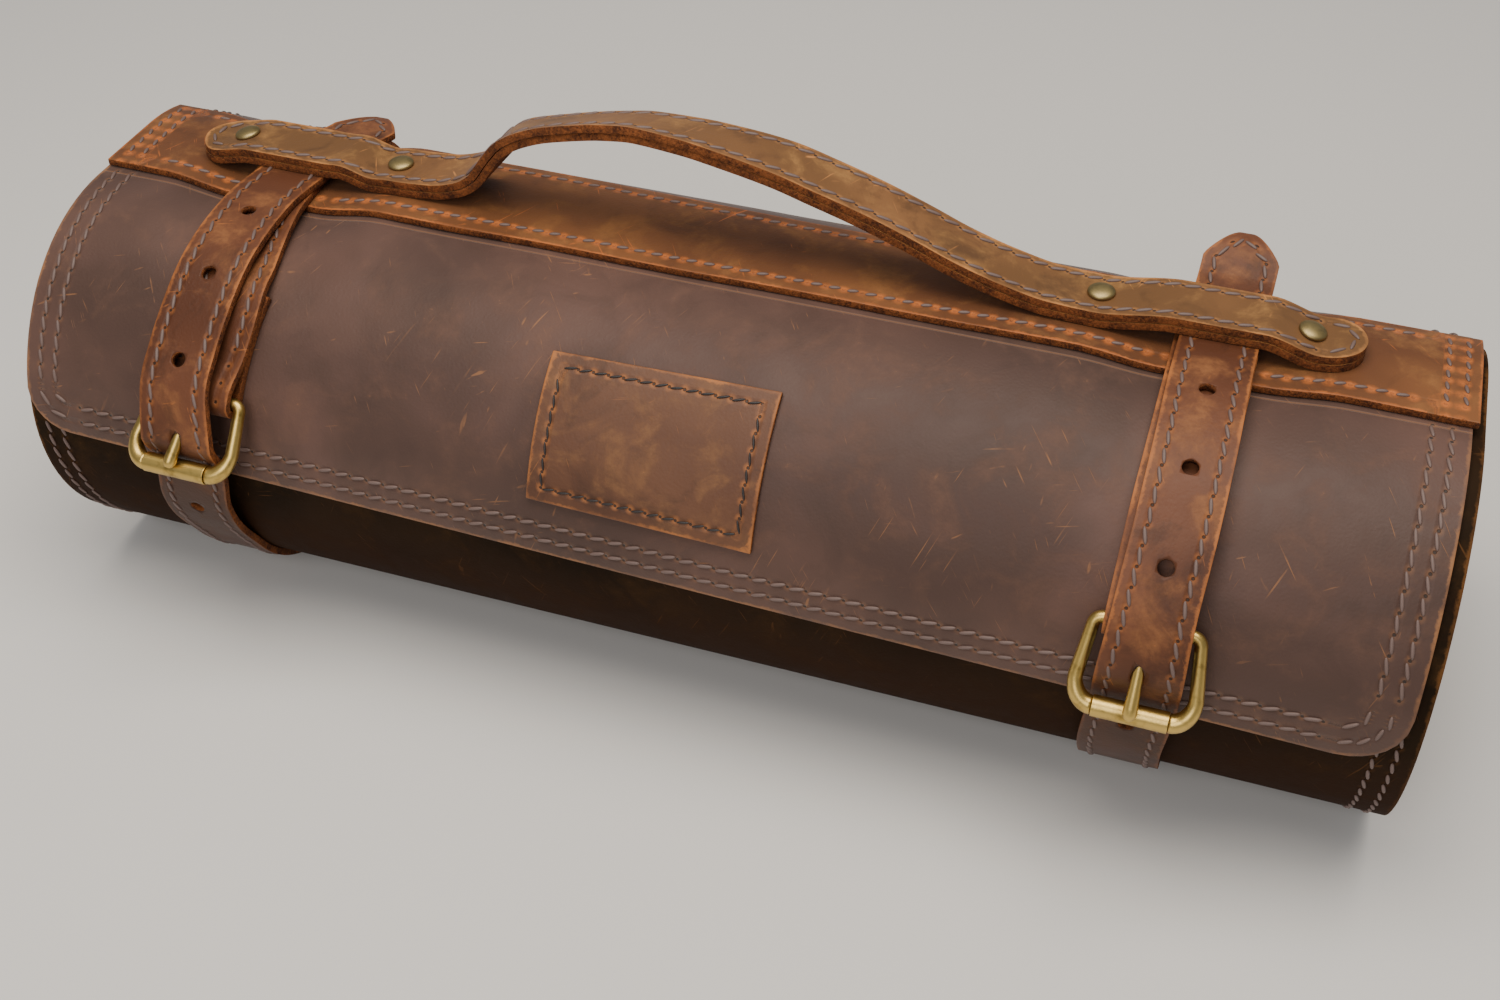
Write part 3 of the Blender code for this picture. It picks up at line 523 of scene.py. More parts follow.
def sheet_ends(travel):
    """Where the sheet's two ends are at this travel, without the corners."""
    drift = ramp(travel, step_start, turn)
    left = -ROLL_LENGTH / 2 - UNDER_END["left"] * drift
    right = ROLL_LENGTH / 2 - FLAP_INSET * (1 - drift) + (UNDER_END["right"] - FLAP_INSET) * drift
    return left + BASE.x, right + BASE.x


def sheet_span(travel):
    """The sheet's ends with the rounded corners of the flap taken off."""
    ends = list(sheet_ends(travel))
    for i, (side, way) in enumerate((("left", 1), ("right", -1))):
        radius = FLAP_CORNER[side]
        if travel < radius:
            ends[i] += way * (radius - math.sqrt(radius**2 - (radius - travel) ** 2))
    return ends


def on_sheet(x, travel, lift=0.0):
    """A point `lift` above the sheet's outer face, and the way out."""
    slant = (FLAP_EDGE_RISE - FLAP_EDGE_SLANT * (x - BASE.x)) * (1 - ramp(travel, 0, quarter))
    swell = SWELL * noise.noise(Vector((x, travel, 0)) / SWELL_SIZE) if travel < 0.6 * turn else 0.0
    swell *= ramp(travel, 0, 12 * MM)
    off = sheet_face(travel) - dent(x, travel) + min(swell, 0.1 * MM) + lift
    point, out = section(travel + slant, off)
    point.x = x
    return point, out


def place_sheet(travel, share):
    """The middle of the sheet, by its share of the way from left to right."""
    left, right = sheet_span(travel)
    return on_sheet(left + (right - left) * share, travel, -SHEET_THICKNESS / 2)[0]


def measure_sheet(travel, share):
    """Along and in from the nearest cut edge, round the flap's corners too."""
    left, right = sheet_ends(travel)
    span = sheet_span(travel)
    x = span[0] + (span[1] - span[0]) * share
    side, aside, way = ("left", x - left, 1) if x < 0 else ("right", right - x, -1)
    radius = FLAP_CORNER[side]
    if travel < radius and aside < radius:
        inset = radius - math.hypot(radius - travel, radius - aside)
        return way * STITCH_PITCH / 2, inset
    if travel < aside:
        return x, travel
    return travel, aside


corner_rows = [FLAP_CORNER["right"] * share for share in (0, 0.035, 0.1, 0.2, 0.33, 0.5, 0.74)]
sheet_rows = corner_rows + spaced(FLAP_CORNER["right"], TURNS * turn, 5 * MM)
sheet_columns = [0.5 + x / ROLL_LENGTH for x in edged(-ROLL_LENGTH / 2, ROLL_LENGTH / 2, 4 * MM)]
# From 0.7 of a turn on, the sheet takes the darker copy of its leather: painted shade on the lower turns.
roll = leather(
    "rolled_leather_sheet", sheet_rows, sheet_columns, place_sheet, measure_sheet, SHEET_THICKNESS,
    roll_leather, inner=painted_shade_leather, painted_shade_from=0.7 * turn)
stands_for(roll, "roll_leather", "roll_sheet")

# %% [markdown]
# ## The reinforcement and the patch
# A lighter leather is stitched along the top to carry the handle. Its front edge was cut by
# hand, so it waves. The patch on the front is left bare.

# %% Lay the panel and the patch
PANEL_WIDTH, PANEL_THICKNESS = 45.7 * MM, 2.5 * MM
PANEL_SHIFT_BACK, PANEL_END_INSET = 11.8 * MM, 0.5 * MM
PANEL_WAVE, PANEL_WAVE_LENGTHS, PANEL_WAIST = 0.5 * MM, (21 * MM, 37 * MM), 4.5 * MM
PATCH_WIDTH, PATCH_HEIGHT, PATCH_TAPER, PATCH_THICKNESS = 75 * MM, 48.5 * MM, 3.3 * MM, 1.5 * MM
PATCH_CENTRE_X, PATCH_ABOVE_FLAP = -7.3 * MM, 44.3 * MM
panel_start = quarter + PANEL_SHIFT_BACK - PANEL_WIDTH / 2
panel_end = panel_start + PANEL_WIDTH
panel_lift = FLAP_FACE + GAP + PANEL_THICKNESS
panel_half = ROLL_LENGTH / 2 - PANEL_END_INSET


def on_panel(x, share, lift=0.0):
    """A point above the panel's outer face, by its share of the way from front to back."""
    from_middle = x - BASE.x
    short, long = PANEL_WAVE_LENGTHS
    wave = PANEL_WAVE * math.sin(from_middle / short) * math.cos(from_middle / long) * (1 - share)
    waist = PANEL_WAIST * ramp(from_middle, -0.2 * ROLL_LENGTH, 0.08 * ROLL_LENGTH)
    waist *= 1 - ramp(from_middle, 0.12 * ROLL_LENGTH, 0.32 * ROLL_LENGTH)
    travel = panel_start + wave + (PANEL_WIDTH - waist) * share
    point, out = section(travel, panel_lift - dent(x, travel) + lift)
    point.x = x
    return point, out


PANEL_END_ROWS, PANEL_END_ZONE, PANEL_CUT_EDGE = (4.4 * MM, 10 * MM), 13 * MM, 2 * MM


def measure_panel(x, share):
    """The rows by the panel's ends are two, so inset is stretched there to meet them."""
    aside, across = panel_half - abs(x - BASE.x), min(share, 1 - share) * PANEL_WIDTH
    if aside > PANEL_END_ZONE:
        return x, across
    first, second = PANEL_END_ROWS
    nearest = first if aside < (first + second) / 2 else second
    return share * PANEL_WIDTH, aside - nearest + PANEL_ROWS[0] if aside > PANEL_CUT_EDGE else aside


panel_columns = edged(0, 1, 0.075, 0.016)
panel_rows = [x + BASE.x for x in edged(-panel_half, panel_half, 3.6 * MM)]
panel = leather(
    "top_reinforcement", panel_rows, panel_columns,
    lambda x, share: on_panel(x, share, -PANEL_THICKNESS / 2)[0], measure_panel, PANEL_THICKNESS,
    panel_leather)
stands_for(panel, "panel_leather", "top_panel")

flap_edge = FLAP_EDGE_RISE - FLAP_EDGE_SLANT * PATCH_CENTRE_X


def on_patch(x_share, share, lift=0.0):
    """A point above the patch's outer face, by its shares of the patch's width and height."""
    height = PATCH_HEIGHT + PATCH_TAPER * x_share
    travel = PATCH_ABOVE_FLAP + flap_edge + height * (share - 0.5)
    point, out = section(travel, FLAP_FACE + GAP + PATCH_THICKNESS + lift)
    point.x = BASE.x + PATCH_CENTRE_X + PATCH_WIDTH * x_share
    return point, out


def measure_patch(x_share, share):
    """Along and in from the patch's nearest edge."""
    aside, across = (0.5 - abs(x_share)) * PATCH_WIDTH, min(share, 1 - share) * PATCH_HEIGHT
    if aside < across:
        return share * PATCH_HEIGHT, aside
    return (x_share + 0.5) * PATCH_WIDTH, across


patch = leather(
    "front_patch", edged(-0.5, 0.5, 0.04, 0.01), edged(0, 1, 0.06, 0.015),
    lambda x_share, share: on_patch(x_share, share, -PATCH_THICKNESS / 2)[0], measure_patch,
    PATCH_THICKNESS, patch_leather)
stands_for(patch, "patch_leather", "label_patch")

# %% [markdown]
# ## The straps
# Each belt starts at the buckle, where it folds round the bar, goes once round the roll, slips
# behind the roller and over the bar, and ends in a point behind the handle.

# %% Follow a strap
STRAP_FREE_WIDTH, FOLD_LENGTH = 23.8 * MM, 34.5 * MM
POINT_LENGTH, POINT_END_WIDTH = 11.5 * MM, 4.6 * MM
TIP_REACH, TIP_RISE = {"left": 23.5 * MM, "right": 21.5 * MM}, {"left": 3 * MM, "right": 14.2 * MM}
HOLE_DIAMETER, HOLE_PITCH, HOLE_NUMBERS = 5 * MM, 26 * MM, (-2, 0, 1, 2)
FIRST_HOLE = {"left": 30.2 * MM, "right": 40.8 * MM}
WIRE, BUCKLE_WIDTH = 4.4 * MM, 39.5 * MM
BUCKLE_FRONT_CORNER, BUCKLE_BAR_CORNER = 8.2 * MM, 3 * MM
BUCKLE_SHIFT = {"left": 5 * MM, "right": -1 * MM}
BUCKLE_SKEW = {"left": -2.8 * MM, "right": 0.0}
BAR_TO_ROLLER = {"left": 19.8 * MM, "right": 23.8 * MM}
ROLLER_HEIGHT = {"left": 13.4 * MM, "right": 4.6 * MM}
ROLLER_STANDOFF = {"left": 14.6 * MM, "right": 11.4 * MM}
ROLLER_DIAMETER, ROLLER_LENGTH, ROLLER_WALL = 6.6 * MM, 22.4 * MM, 0.45 * MM
CROSSING = {"left": 0.42, "right": 0.6}
PRONG_WIRE, PRONG_LOOP_WIRE, PRONG_OVERHANG = 3.3 * MM, 2.4 * MM, 0.2 * MM
PRONG_TIP_SHARE, REAR_WIRE_SHARE = 1.3, 0.88
CORNER_SWELL = ((0.0, 1.36), (0.5, 1.25), (1.0, 1.0))
HANDLE_WIDTH, HANDLE_LAYER, HANDLE_SHIFT_BACK = 21.4 * MM, 2.5 * MM, 10.2 * MM

strap_pitch = STRAP_THICKNESS + GAP
first_lift = GAP + STRAP_THICKNESS / 2
fold_radius = WIRE / 2 + GAP + STRAP_THICKNESS / 2
bar_off = FLAP_FACE + first_lift + fold_radius
over_bar = fold_radius + STRAP_THICKNESS + 3 * GAP
handle_front = quarter + HANDLE_SHIFT_BACK - HANDLE_WIDTH / 2
handle_rear = handle_front + HANDLE_WIDTH
tip_start = handle_rear + 2 * MM


def strap_tables(side):
    """How far outside the section the strap's middle runs, on its way round and as its free end."""
    roller, bar = ROLLER_HEIGHT[side], ROLLER_HEIGHT[side] + BAR_TO_ROLLER[side]
    fold_end = bar + FOLD_LENGTH
    flat, doubled = FLAP_FACE + first_lift, FLAP_FACE + first_lift + strap_pitch
    above_panel = panel_lift + first_lift
    way_round = (
        (bar, bar_off + fold_radius), (bar + 16 * MM, doubled), (fold_end, doubled),
        (min(fold_end + 12 * MM, panel_start - 11 * MM), flat + 0.3 * strap_pitch),
        (panel_start - 2 * MM, above_panel), (panel_end + 2 * MM, above_panel),
        (panel_end + 14 * MM, flat),
    )
    on_top = above_panel + strap_pitch
    low = FLAP_FACE - wrap_pitch + first_lift
    roller_off = ROLLER_STANDOFF[side] + FLAP_FACE
    behind_roller = roller_off - ROLLER_DIAMETER / 2 - STRAP_THICKNESS / 2 - 5 * GAP
    above_bar = bar_off + over_bar
    crossing = CROSSING[side]
    on_prong = roller_off + crossing * (bar_off - roller_off) + WIRE / 2 + PRONG_WIRE / 2
    free_end = (
        (roller - 52 * MM, low), (roller - 26 * MM, low + 0.42 * (behind_roller - low)),
        (roller, behind_roller), (roller + crossing * BAR_TO_ROLLER[side], on_prong),
        (bar, max(above_bar, on_prong)), (bar + 14 * MM, 0.25 * on_top + 0.75 * above_bar),
        (fold_end - 2 * MM, doubled + 1.4 * strap_pitch), (panel_start - 2 * MM, on_top),
        (tip_start, on_top), (tip_start + 0.4 * TIP_REACH[side], on_top + 0.2 * TIP_RISE[side]),
        (tip_start + TIP_REACH[side], on_top + TIP_RISE[side]),
    )
    return way_round, free_end


def strap_off(side, travel):
    """How far outside the section the strap's middle runs, pressed in at the top."""
    way_round, free_end = strap_tables(side)
    pressed = DENT[side] * dent_share(travel)
    if travel > turn + free_end[0][0]:
        return through(free_end, travel - turn) - pressed
    if travel < way_round[-1][0]:
        return through(way_round, travel) - pressed
    return sheet_face(travel) + first_lift - pressed


def at_x(point, x):
    """The same point at another place along the roll."""
    return Vector((x, point.y, point.z))


def strap_point(side, travel):
    """The strap's middle line."""
    return at_x(section(travel, strap_off(side, travel))[0], strap_x(side, travel))


def strap_normal(side, travel):
    """The way out of the strap's face."""
    along = strap_point(side, travel + 0.5 * MM) - strap_point(side, travel - 0.5 * MM)
    return Vector((0, -along.z, along.y)).normalized()


def strap_path(side):
    """The strap's middle line at small steps, each point with the strap's width there."""
    bar = ROLLER_HEIGHT[side] + BAR_TO_ROLLER[side]
    centre, out = section(bar, bar_off)
    along = Vector((0, out.z, -out.y))
    fold_x = BASE.x + STRAP_X[side] + STRAP_WIDTH * WANDER[side][0][1]
    bar_x = strap_x(side, bar)
    points = [
        at_x(section(s, FLAP_FACE + first_lift)[0], bar_x + (fold_x - bar_x) * (s - bar) / FOLD_LENGTH)
        for s in edged(bar + FOLD_LENGTH, bar, 2.5 * MM)[:-1]
    ]
    for i in range(0, 19):
        angle = math.pi * i / 18
        point = centre - fold_radius * (math.cos(angle) * out + math.sin(angle) * along)
        points.append(at_x(point, bar_x))
    widths = [STRAP_WIDTH] * len(points)
    last = tip_start + TIP_REACH[side] + turn
    travels = spaced(bar, turn + ROLLER_HEIGHT[side] - 20 * MM, 3.2 * MM)[1:]
    travels += spaced(travels[-1], last - POINT_LENGTH, 1.7 * MM)[1:]
    travels += edged(last - POINT_LENGTH, last, 0.9 * MM, 0.4 * MM)[1:]
    points += [strap_point(side, travel) for travel in travels]
    taper = turn + ROLLER_HEIGHT[side] + 0.3 * BAR_TO_ROLLER[side]
    for travel in travels:
        tapered = ramp(travel, taper, taper + BAR_TO_ROLLER[side])
        widths.append(STRAP_WIDTH + (STRAP_FREE_WIDTH - STRAP_WIDTH) * tapered)
    return points, widths


def lengths_of(points):
    """How far along a line each of its points is."""
    lengths = [0.0]
    for a, b in zip(points, points[1:]):
        lengths.append(lengths[-1] + (b - a).length)
    return lengths


print("strap length", [round(lengths_of(strap_path(side)[0])[-1] / MM) for side in STRAP_X], "mm")

# %% [markdown]
# ## Punched holes
# A punch leaves a clean round hole with a raw wall. Cutters go through the strap, and their
# faces carry the raw edge's material into the hole.

# %% Cut the straps and punch them


def cut(made, cylinders):
    """Cuts for good, so that no cutter stays. Each cylinder is a matrix, a radius and a length."""
    tools = []
    for matrix, radius, length in cylinders:
        bm = bmesh.new()
        bmesh.ops.create_cone(
            bm, cap_ends=True, segments=28, radius1=radius, radius2=radius, depth=length, matrix=matrix)
        for face in bm.faces:
            face.material_index, face.smooth = 1, len(face.verts) == 4
        mesh = mesh_of(bm, "punch")
        for finish in made.data.materials:
            mesh.materials.append(finish)
        tools.append(new_object("punch", mesh))
        boolean = made.modifiers.new("cut", "BOOLEAN")
        boolean.operation, boolean.solver, boolean.object = "DIFFERENCE", "EXACT", tools[-1]
    bpy.context.view_layer.update()
    evaluated = made.evaluated_get(bpy.context.evaluated_depsgraph_get())
    mesh = bpy.data.meshes.new_from_object(evaluated)
    made.modifiers.clear()
    made.data = mesh
    for tool in tools:
        bpy.data.objects.remove(tool)


def buckle_axes(side):
    """The middles of the bar and of the roller, and the frame's own directions."""
    x = BASE.x + STRAP_X[side] + BUCKLE_SHIFT[side]
    roller, _ = section(ROLLER_HEIGHT[side], ROLLER_STANDOFF[side] + FLAP_FACE)
    bar, _ = section(ROLLER_HEIGHT[side] + BAR_TO_ROLLER[side], bar_off)
    forward = at_x(roller - bar, 0)
    reach = forward.length
    forward.normalize()
    out = forward.cross(Vector((1, 0, 0)))
    if out.y > 0:
        out = -out
    skewed = forward + Vector((BUCKLE_SKEW[side] / reach, 0, 0))
    return at_x(bar, x), at_x(roller, x + BUCKLE_SKEW[side]), forward, skewed, out, reach


def shank_ends(side):
    """Where the prong's straight shank starts at the bar and ends over the roller."""
    bar, _, forward, skewed, out, reach = buckle_axes(side)
    loop_radius = WIRE / 2 + GAP + PRONG_LOOP_WIRE / 2
    tip_out = ROLLER_DIAMETER / 2 + GAP + PRONG_TIP_SHARE * PRONG_WIRE / 2
    forth = reach + PRONG_OVERHANG
    angle = math.atan2(tip_out, forth) + math.acos(loop_radius / math.hypot(forth, tip_out))
    start = bar + loop_radius * (math.cos(angle) * forward + math.sin(angle) * out)
    return start, bar + skewed * forth + out * tip_out, angle, loop_radius


SLOT_LENGTH, PUNCH_SPARE = 4.8 * MM, 1.15 * MM
STRAP_COLUMNS = (-1, -0.94, -0.8, -0.55, -0.25, 0, 0.25, 0.55, 0.8, 0.94, 1)
straps = {}
for side in SIDES:
    path, widths = strap_path(side)
    lengths = lengths_of(path)

    def strap_half(i):
        """Half the strap's width at one point of its path, less towards its tip."""
        to_tip = min((lengths[-1] - lengths[i]) / POINT_LENGTH, 1.0)
        return (POINT_END_WIDTH + (widths[i] - POINT_END_WIDTH) * to_tip * (1.3 - 0.3 * to_tip)) / 2

    def place_strap(i, share):
        return path[i] + Vector((share * strap_half(i), 0, 0))

    def measure_strap(i, share):
        return lengths[i], strap_half(i) * (1 - abs(share))

    straps[side] = path, widths, lengths
    strap = leather(
        "belt_" + side, range(len(path)), STRAP_COLUMNS, place_strap, measure_strap, STRAP_THICKNESS,
        strap_leather)
    tools = []
    for number in HOLE_NUMBERS:
        travel = turn + ROLLER_HEIGHT[side] + FIRST_HOLE[side] + number * HOLE_PITCH
        punch = aimed(strap_point(side, travel), strap_normal(side, travel))
        tools.append((punch, HOLE_DIAMETER / 2, STRAP_THICKNESS + PUNCH_SPARE))
    start, end, _, _ = shank_ends(side)
    shank = aimed((start + end) / 2, end - start)
    tools.append((shank, PRONG_WIRE / 2 + 1.2 * GAP, (end - start).length))
    bar = buckle_axes(side)[0]
    slot = Matrix.Translation(bar) @ Matrix.Rotation(math.pi / 2, 4, "Y")
    tools.append((slot, fold_radius + STRAP_THICKNESS / 2 + GAP, SLOT_LENGTH))
    cut(strap, tools)
    stands_for(strap, "strap_leather", "strap_" + side)

# %% [markdown]
# ## The handle
# Two leathers lie on the panel at the rivets, pass over the straps and arch up between the
# inner rivets. A short table of shares holds the shape of the arch.

# %% Bend the handle
HANDLE_END = {"left": 16.6 * MM, "right": 16.7 * MM}
ARCH_RISE, ARCH_TILT = 33.5 * MM, 3.2 * MM
RIVET_CAP, RIVET_DOME, RIVET_POST = 8.8 * MM, 2.1 * MM, 3.4 * MM
RIVET_FROM_STRAP = {
    "left_outer": ("left", -19.1 * MM), "left_inner": ("left", 39.6 * MM),
    "right_inner": ("right", -37.2 * MM), "right_outer": ("right", 26.4 * MM),
}
RUN_DOWN = {"left": (21 * MM, 15 * MM), "right": (26 * MM, 18 * MM)}
# The arch: shares of the way from rivet to rivet, and of its rise.
ARCH = (
    (0.0, 0.0), (0.064, 0.03), (0.106, 0.11), (0.135, 0.24), (0.156, 0.44), (0.181, 0.63),
    (0.222, 0.765), (0.281, 0.885), (0.335, 0.965), (0.376, 1.0), (0.439, 0.985),
    (0.501, 0.935), (0.564, 0.86), (0.626, 0.735), (0.689, 0.595), (0.751, 0.43),
    (0.813, 0.25), (0.876, 0.11), (0.938, 0.02), (1.0, 0.0),
)
rivet_x = {name: BASE.x + STRAP_X[side] + away for name, (side, away) in RIVET_FROM_STRAP.items()}
arch_start, arch_end = rivet_x["left_inner"], rivet_x["right_inner"]
stack = 2 * HANDLE_LAYER + GAP


def handle_z(x):
    """The height of the seam between the handle's two leathers."""
    hump = 0.0
    for side, (before, after) in RUN_DOWN.items():
        under = [strap_x(side, quarter)]
        under += [strap_x(side, handle_front + turn), strap_x(side, handle_rear + turn)]
        low = min(under[0] - STRAP_WIDTH / 2, min(under[1:]) - STRAP_FREE_WIDTH / 2) - 2 * GAP
        high = max(under[0] + STRAP_WIDTH / 2, max(under[1:]) + STRAP_FREE_WIDTH / 2) + 2 * GAP
        away = 1 - ramp(low - x, 0, before) if x < low else 1 - ramp(x - high, 0, after)
        hump = max(hump, 2 * strap_pitch * away)
    arch = ARCH_RISE * through(ARCH, (x - arch_start) / (arch_end - arch_start))
    rest = BASE.z + ROLL_HEIGHT + panel_lift + GAP - dent(x, quarter + HANDLE_SHIFT_BACK)
    return rest + stack / 2 + hump + arch


def on_handle(x, y, lift):
    """A point of the handle: y from its middle line, lift from its seam. And the way out."""
    slope = (handle_z(x + 0.4 * MM) - handle_z(x - 0.4 * MM)) / (0.8 * MM)
    out = Vector((-slope, 0, 1)).normalized()
    share = (x - arch_start) / (arch_end - arch_start)
    tilt = ARCH_TILT * ramp(share, 0.1, 0.25) * (1 - ramp(share, 0.3, 0.62))
    lean = -tilt * y / (HANDLE_WIDTH / 2)
    return Vector((x, BASE.y + HANDLE_SHIFT_BACK + y, handle_z(x) + lean)) + out * lift, out


handle_start = rivet_x["left_outer"] - HANDLE_END["left"]
handle_end = rivet_x["right_outer"] + HANDLE_END["right"]
half_width = HANDLE_WIDTH / 2
end_rows = [half_width * (1 - math.cos(math.pi / 2 * i / 12)) for i in range(13)]
handle_rows = [handle_start + row for row in end_rows]
handle_rows += spaced(handle_start + half_width, handle_end - half_width, 1.8 * MM)[1:-1]
handle_rows += [handle_end - row for row in reversed(end_rows)]


def handle_half(x):
    """Half the handle's width, less towards its round ends."""
    near_end = min(x - handle_start, handle_end - x, half_width)
    return max(math.sqrt(half_width**2 - (half_width - near_end) ** 2), 0.6 * MM)


def measure_handle(x, share):
    """Along and in from the handle's edge, round its ends too."""
    near_end = min(x - handle_start, handle_end - x)
    if near_end < half_width:
        return 0.5 * STITCH_PITCH, half_width - math.hypot(half_width - near_end, share * handle_half(x))
    return x, half_width * (1 - abs(share))


handle_columns = (-1, -0.93, -0.8, -0.5, -0.2, 0.2, 0.5, 0.8, 0.93, 1)
for layer, sign in (("lower", -1), ("upper", 1)):
    lift = sign * (HANDLE_LAYER + GAP) / 2
    made = leather(
        "handle_" + layer, handle_rows, handle_columns,
        lambda x, share: on_handle(x, share * handle_half(x), lift)[0], measure_handle,
        HANDLE_LAYER, handle_leather)
    stands_for(made, "handle_leather", f"handle_{layer}_layer")

# %% [markdown]
# ## Thread
# The seams are sewn by hand with waxed thread: each stitch is a short slanting bead of thread
# that dives into a hole at both ends. A row is a list of holes, and a stitch joins each two.

# %% Sew
thread = plain_finish("waxed_thread", "#67544e", 0.55)
dark_thread = plain_finish("dark_waxed_thread", "#211b1a", 0.5)


def holes(start, end, pitch=STITCH_PITCH):
    """The whole multiples of the pitch between two distances, or back from the end."""
    low, high = min(start, end), max(start, end)
    found = [pitch * i for i in range(math.ceil(low / pitch), math.floor(high / pitch) + 1)]
    return found if end > start else found[::-1]


FLOOR_GAP, THREAD_WIDTH, PATCH_THREAD_WIDTH = 0.1 * MM, 1.28 * MM, 0.8 * MM
STITCH_LIFT = 0.1 * MM
bead = bmesh.new()
bmesh.ops.create_uvsphere(bead, u_segments=8, v_segments=7, radius=1)
bead_points = [
    Vector((v.co.x, v.co.y, math.copysign(abs(v.co.z) ** 0.75, v.co.z))) for v in bead.verts]
bead_faces = [[v.index for v in face.verts] for face in bead.faces]
bead.free()


def sew(name, rows, finish, width=THREAD_WIDTH, fill=0.43):
    """Every stitch of a piece as one mesh. `fill` is half a stitch's share of its pitch."""
    points, faces = [], []
    for row in rows:
        for (a, out_a), (b, out_b) in zip(row, row[1:]):
            along = b - a
            reach = along.length
            along.normalize()
            out = out_a + out_b
            out = (out - along * out.dot(along)).normalized()
            aside = out.cross(along)
            slant = math.radians(random.uniform(10, 18))
            way = along * math.cos(slant) + aside * math.sin(slant)
            aside = out.cross(way)
            half_length = reach * random.uniform(fill - 0.02, fill + 0.02)
            scale = (aside * width / 2, out * width * 0.46, way * half_length)
            middle = (a + b) / 2 + out * STITCH_LIFT
            faces += [[i + len(points) for i in face] for face in bead_faces]
            points += [middle + scale[0] * p.x + scale[1] * p.y + scale[2] * p.z for p in bead_points]
    mesh = bpy.data.meshes.new(name)
    for point in points:
        point.z = max(point.z, FLOOR_GAP)
    mesh.from_pydata(points, [], faces)
    mesh.shade_smooth()
    mesh.materials.append(finish)
    made = new_object(name, mesh)
    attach(made, "root")
    print(name, len(faces) // len(bead_faces), "stitches")
    return made


def clear_of_straps(x, travel, spare=2 * MM):
    """Whether no strap lies on this place of the top."""
    return all(abs(x - strap_x(side, travel)) > STRAP_WIDTH / 2 + spare for side in STRAP_X)


rows = []
for row in FLAP_ROWS:
    left, right = sheet_ends(0)
    straight = holes(left + FLAP_CORNER["left"], right - FLAP_CORNER["right"])
    rows.append([on_sheet(x, row) for x in straight])
    for side, start, way in (("left", left, 1), ("right", right, -1)):
        radius = FLAP_CORNER[side]
        bend = radius - row
        count = max(1, round(bend * math.pi / 2 / STITCH_PITCH))
        angles = [math.pi / 2 * i / count for i in range(count + 1)]
        rows.append([
            on_sheet(start + way * (radius - bend * math.sin(a)), radius - bend * math.cos(a))
            for a in angles
        ])
        for low, high in ((radius, panel_start - MM), (panel_end + MM, turn + quarter / 2)):
            side_row = []
            for travel in holes(low, high):
                ends = sheet_ends(travel)
                side_row.append(on_sheet((ends[0] if side == "left" else ends[1]) + way * row, travel))
            rows.append(side_row)
sew("sheet_stitches", rows, thread)

rows = []
reach, row_share = panel_half - 15 * MM, PANEL_ROWS[0] / PANEL_WIDTH
for share, travel in ((row_share, panel_start + turn), (1 - row_share, panel_end)):
    row = []
    for x in holes(BASE.x - reach, BASE.x + reach):
        if clear_of_straps(x, travel):
            row.append(on_panel(x, share))
        else:
            rows.append(row)
            row = []
    rows.append(row)
for aside in PANEL_END_ROWS:
    for x in (BASE.x - panel_half + aside, BASE.x + panel_half - aside):
        rows.append([on_panel(x, along / PANEL_WIDTH) for along in holes(3 * MM, PANEL_WIDTH - 3 * MM)])
sew("panel_stitches", rows, thread, fill=0.33)

rows = []
inset, pitch = PATCH_ROWS[0], PATCH_PITCH
for share in (inset / PATCH_HEIGHT, 1 - inset / PATCH_HEIGHT):
    rows.append([
        on_patch(x / PATCH_WIDTH - 0.5, share) for x in holes(inset, PATCH_WIDTH - inset, pitch)])
for x_share in (inset / PATCH_WIDTH - 0.5, 0.5 - inset / PATCH_WIDTH):
    rows.append([
        on_patch(x_share, along / PATCH_HEIGHT) for along in holes(inset, PATCH_HEIGHT - inset, pitch)])
sew("patch_stitches", rows, dark_thread, PATCH_THREAD_WIDTH)

# %% [markdown]
# The belts are sewn along both edges, and the rows meet in the point.

# %% Sew the belts and the handle
SEAM_AFTER_FOLD = 14 * MM
for side, (path, widths, lengths) in straps.items():

    def on_strap(along, across):
        """A point of the strap's outer face, `along` from its fold's end and `across` its middle."""
        i = min(bisect.bisect_right(lengths, along), len(lengths) - 1)
        share = (along - lengths[i - 1]) / (lengths[i] - lengths[i - 1])
        point = path[i - 1].lerp(path[i], share)
        way = path[min(i + 1, len(path) - 1)] - path[max(i - 2, 0)]
        out = Vector((0, -way.z, way.y)).normalized()
        return point + out * STRAP_THICKNESS / 2 + Vector((across, 0, 0)), out

    point_start = lengths[-1] - POINT_LENGTH
    first = next(l for l in lengths if l > FOLD_LENGTH + math.pi * fold_radius) + SEAM_AFTER_FOLD
    rows = []
    for sign in (-1, 1):
        row = []
        for along in holes(first, point_start):
            i = min(range(len(lengths)), key=lambda i: abs(lengths[i] - along))
            row.append(on_strap(along, sign * (widths[i] / 2 - STRAP_ROWS[0])))
        corner, reach = widths[-1] / 2 - STRAP_ROWS[0], POINT_LENGTH - STRAP_ROWS[0]
        for share in (0.5, 1.0):
            row.append(on_strap(point_start + share * reach, sign * corner * (1 - share)))
        rows.append(row)
    sew("belt_stitches_" + side, rows, thread)

rows = []
inset = half_width - HANDLE_ROWS[0]
face = stack / 2
low, high = handle_start + half_width, handle_end - half_width
for sign in (-1, 1):
    rows.append([on_handle(x, sign * inset, face) for x in holes(low, high)])
for middle, way in ((low, -1), (high, 1)):
    angles = [math.pi * i / 4 - math.pi / 2 for i in range(5)]
    rows.append([
        on_handle(middle + way * inset * math.cos(a), inset * math.sin(a), face) for a in angles])
sew("handle_stitches", rows, thread)

# %% [markdown]
# ## Brass
# The buckles and rivets are antique brass: a brushed, slightly patchy surface that is bright
# where it rubs. It is a metal shader with a warm colour whose roughness varies.

# %% Make the brass finish


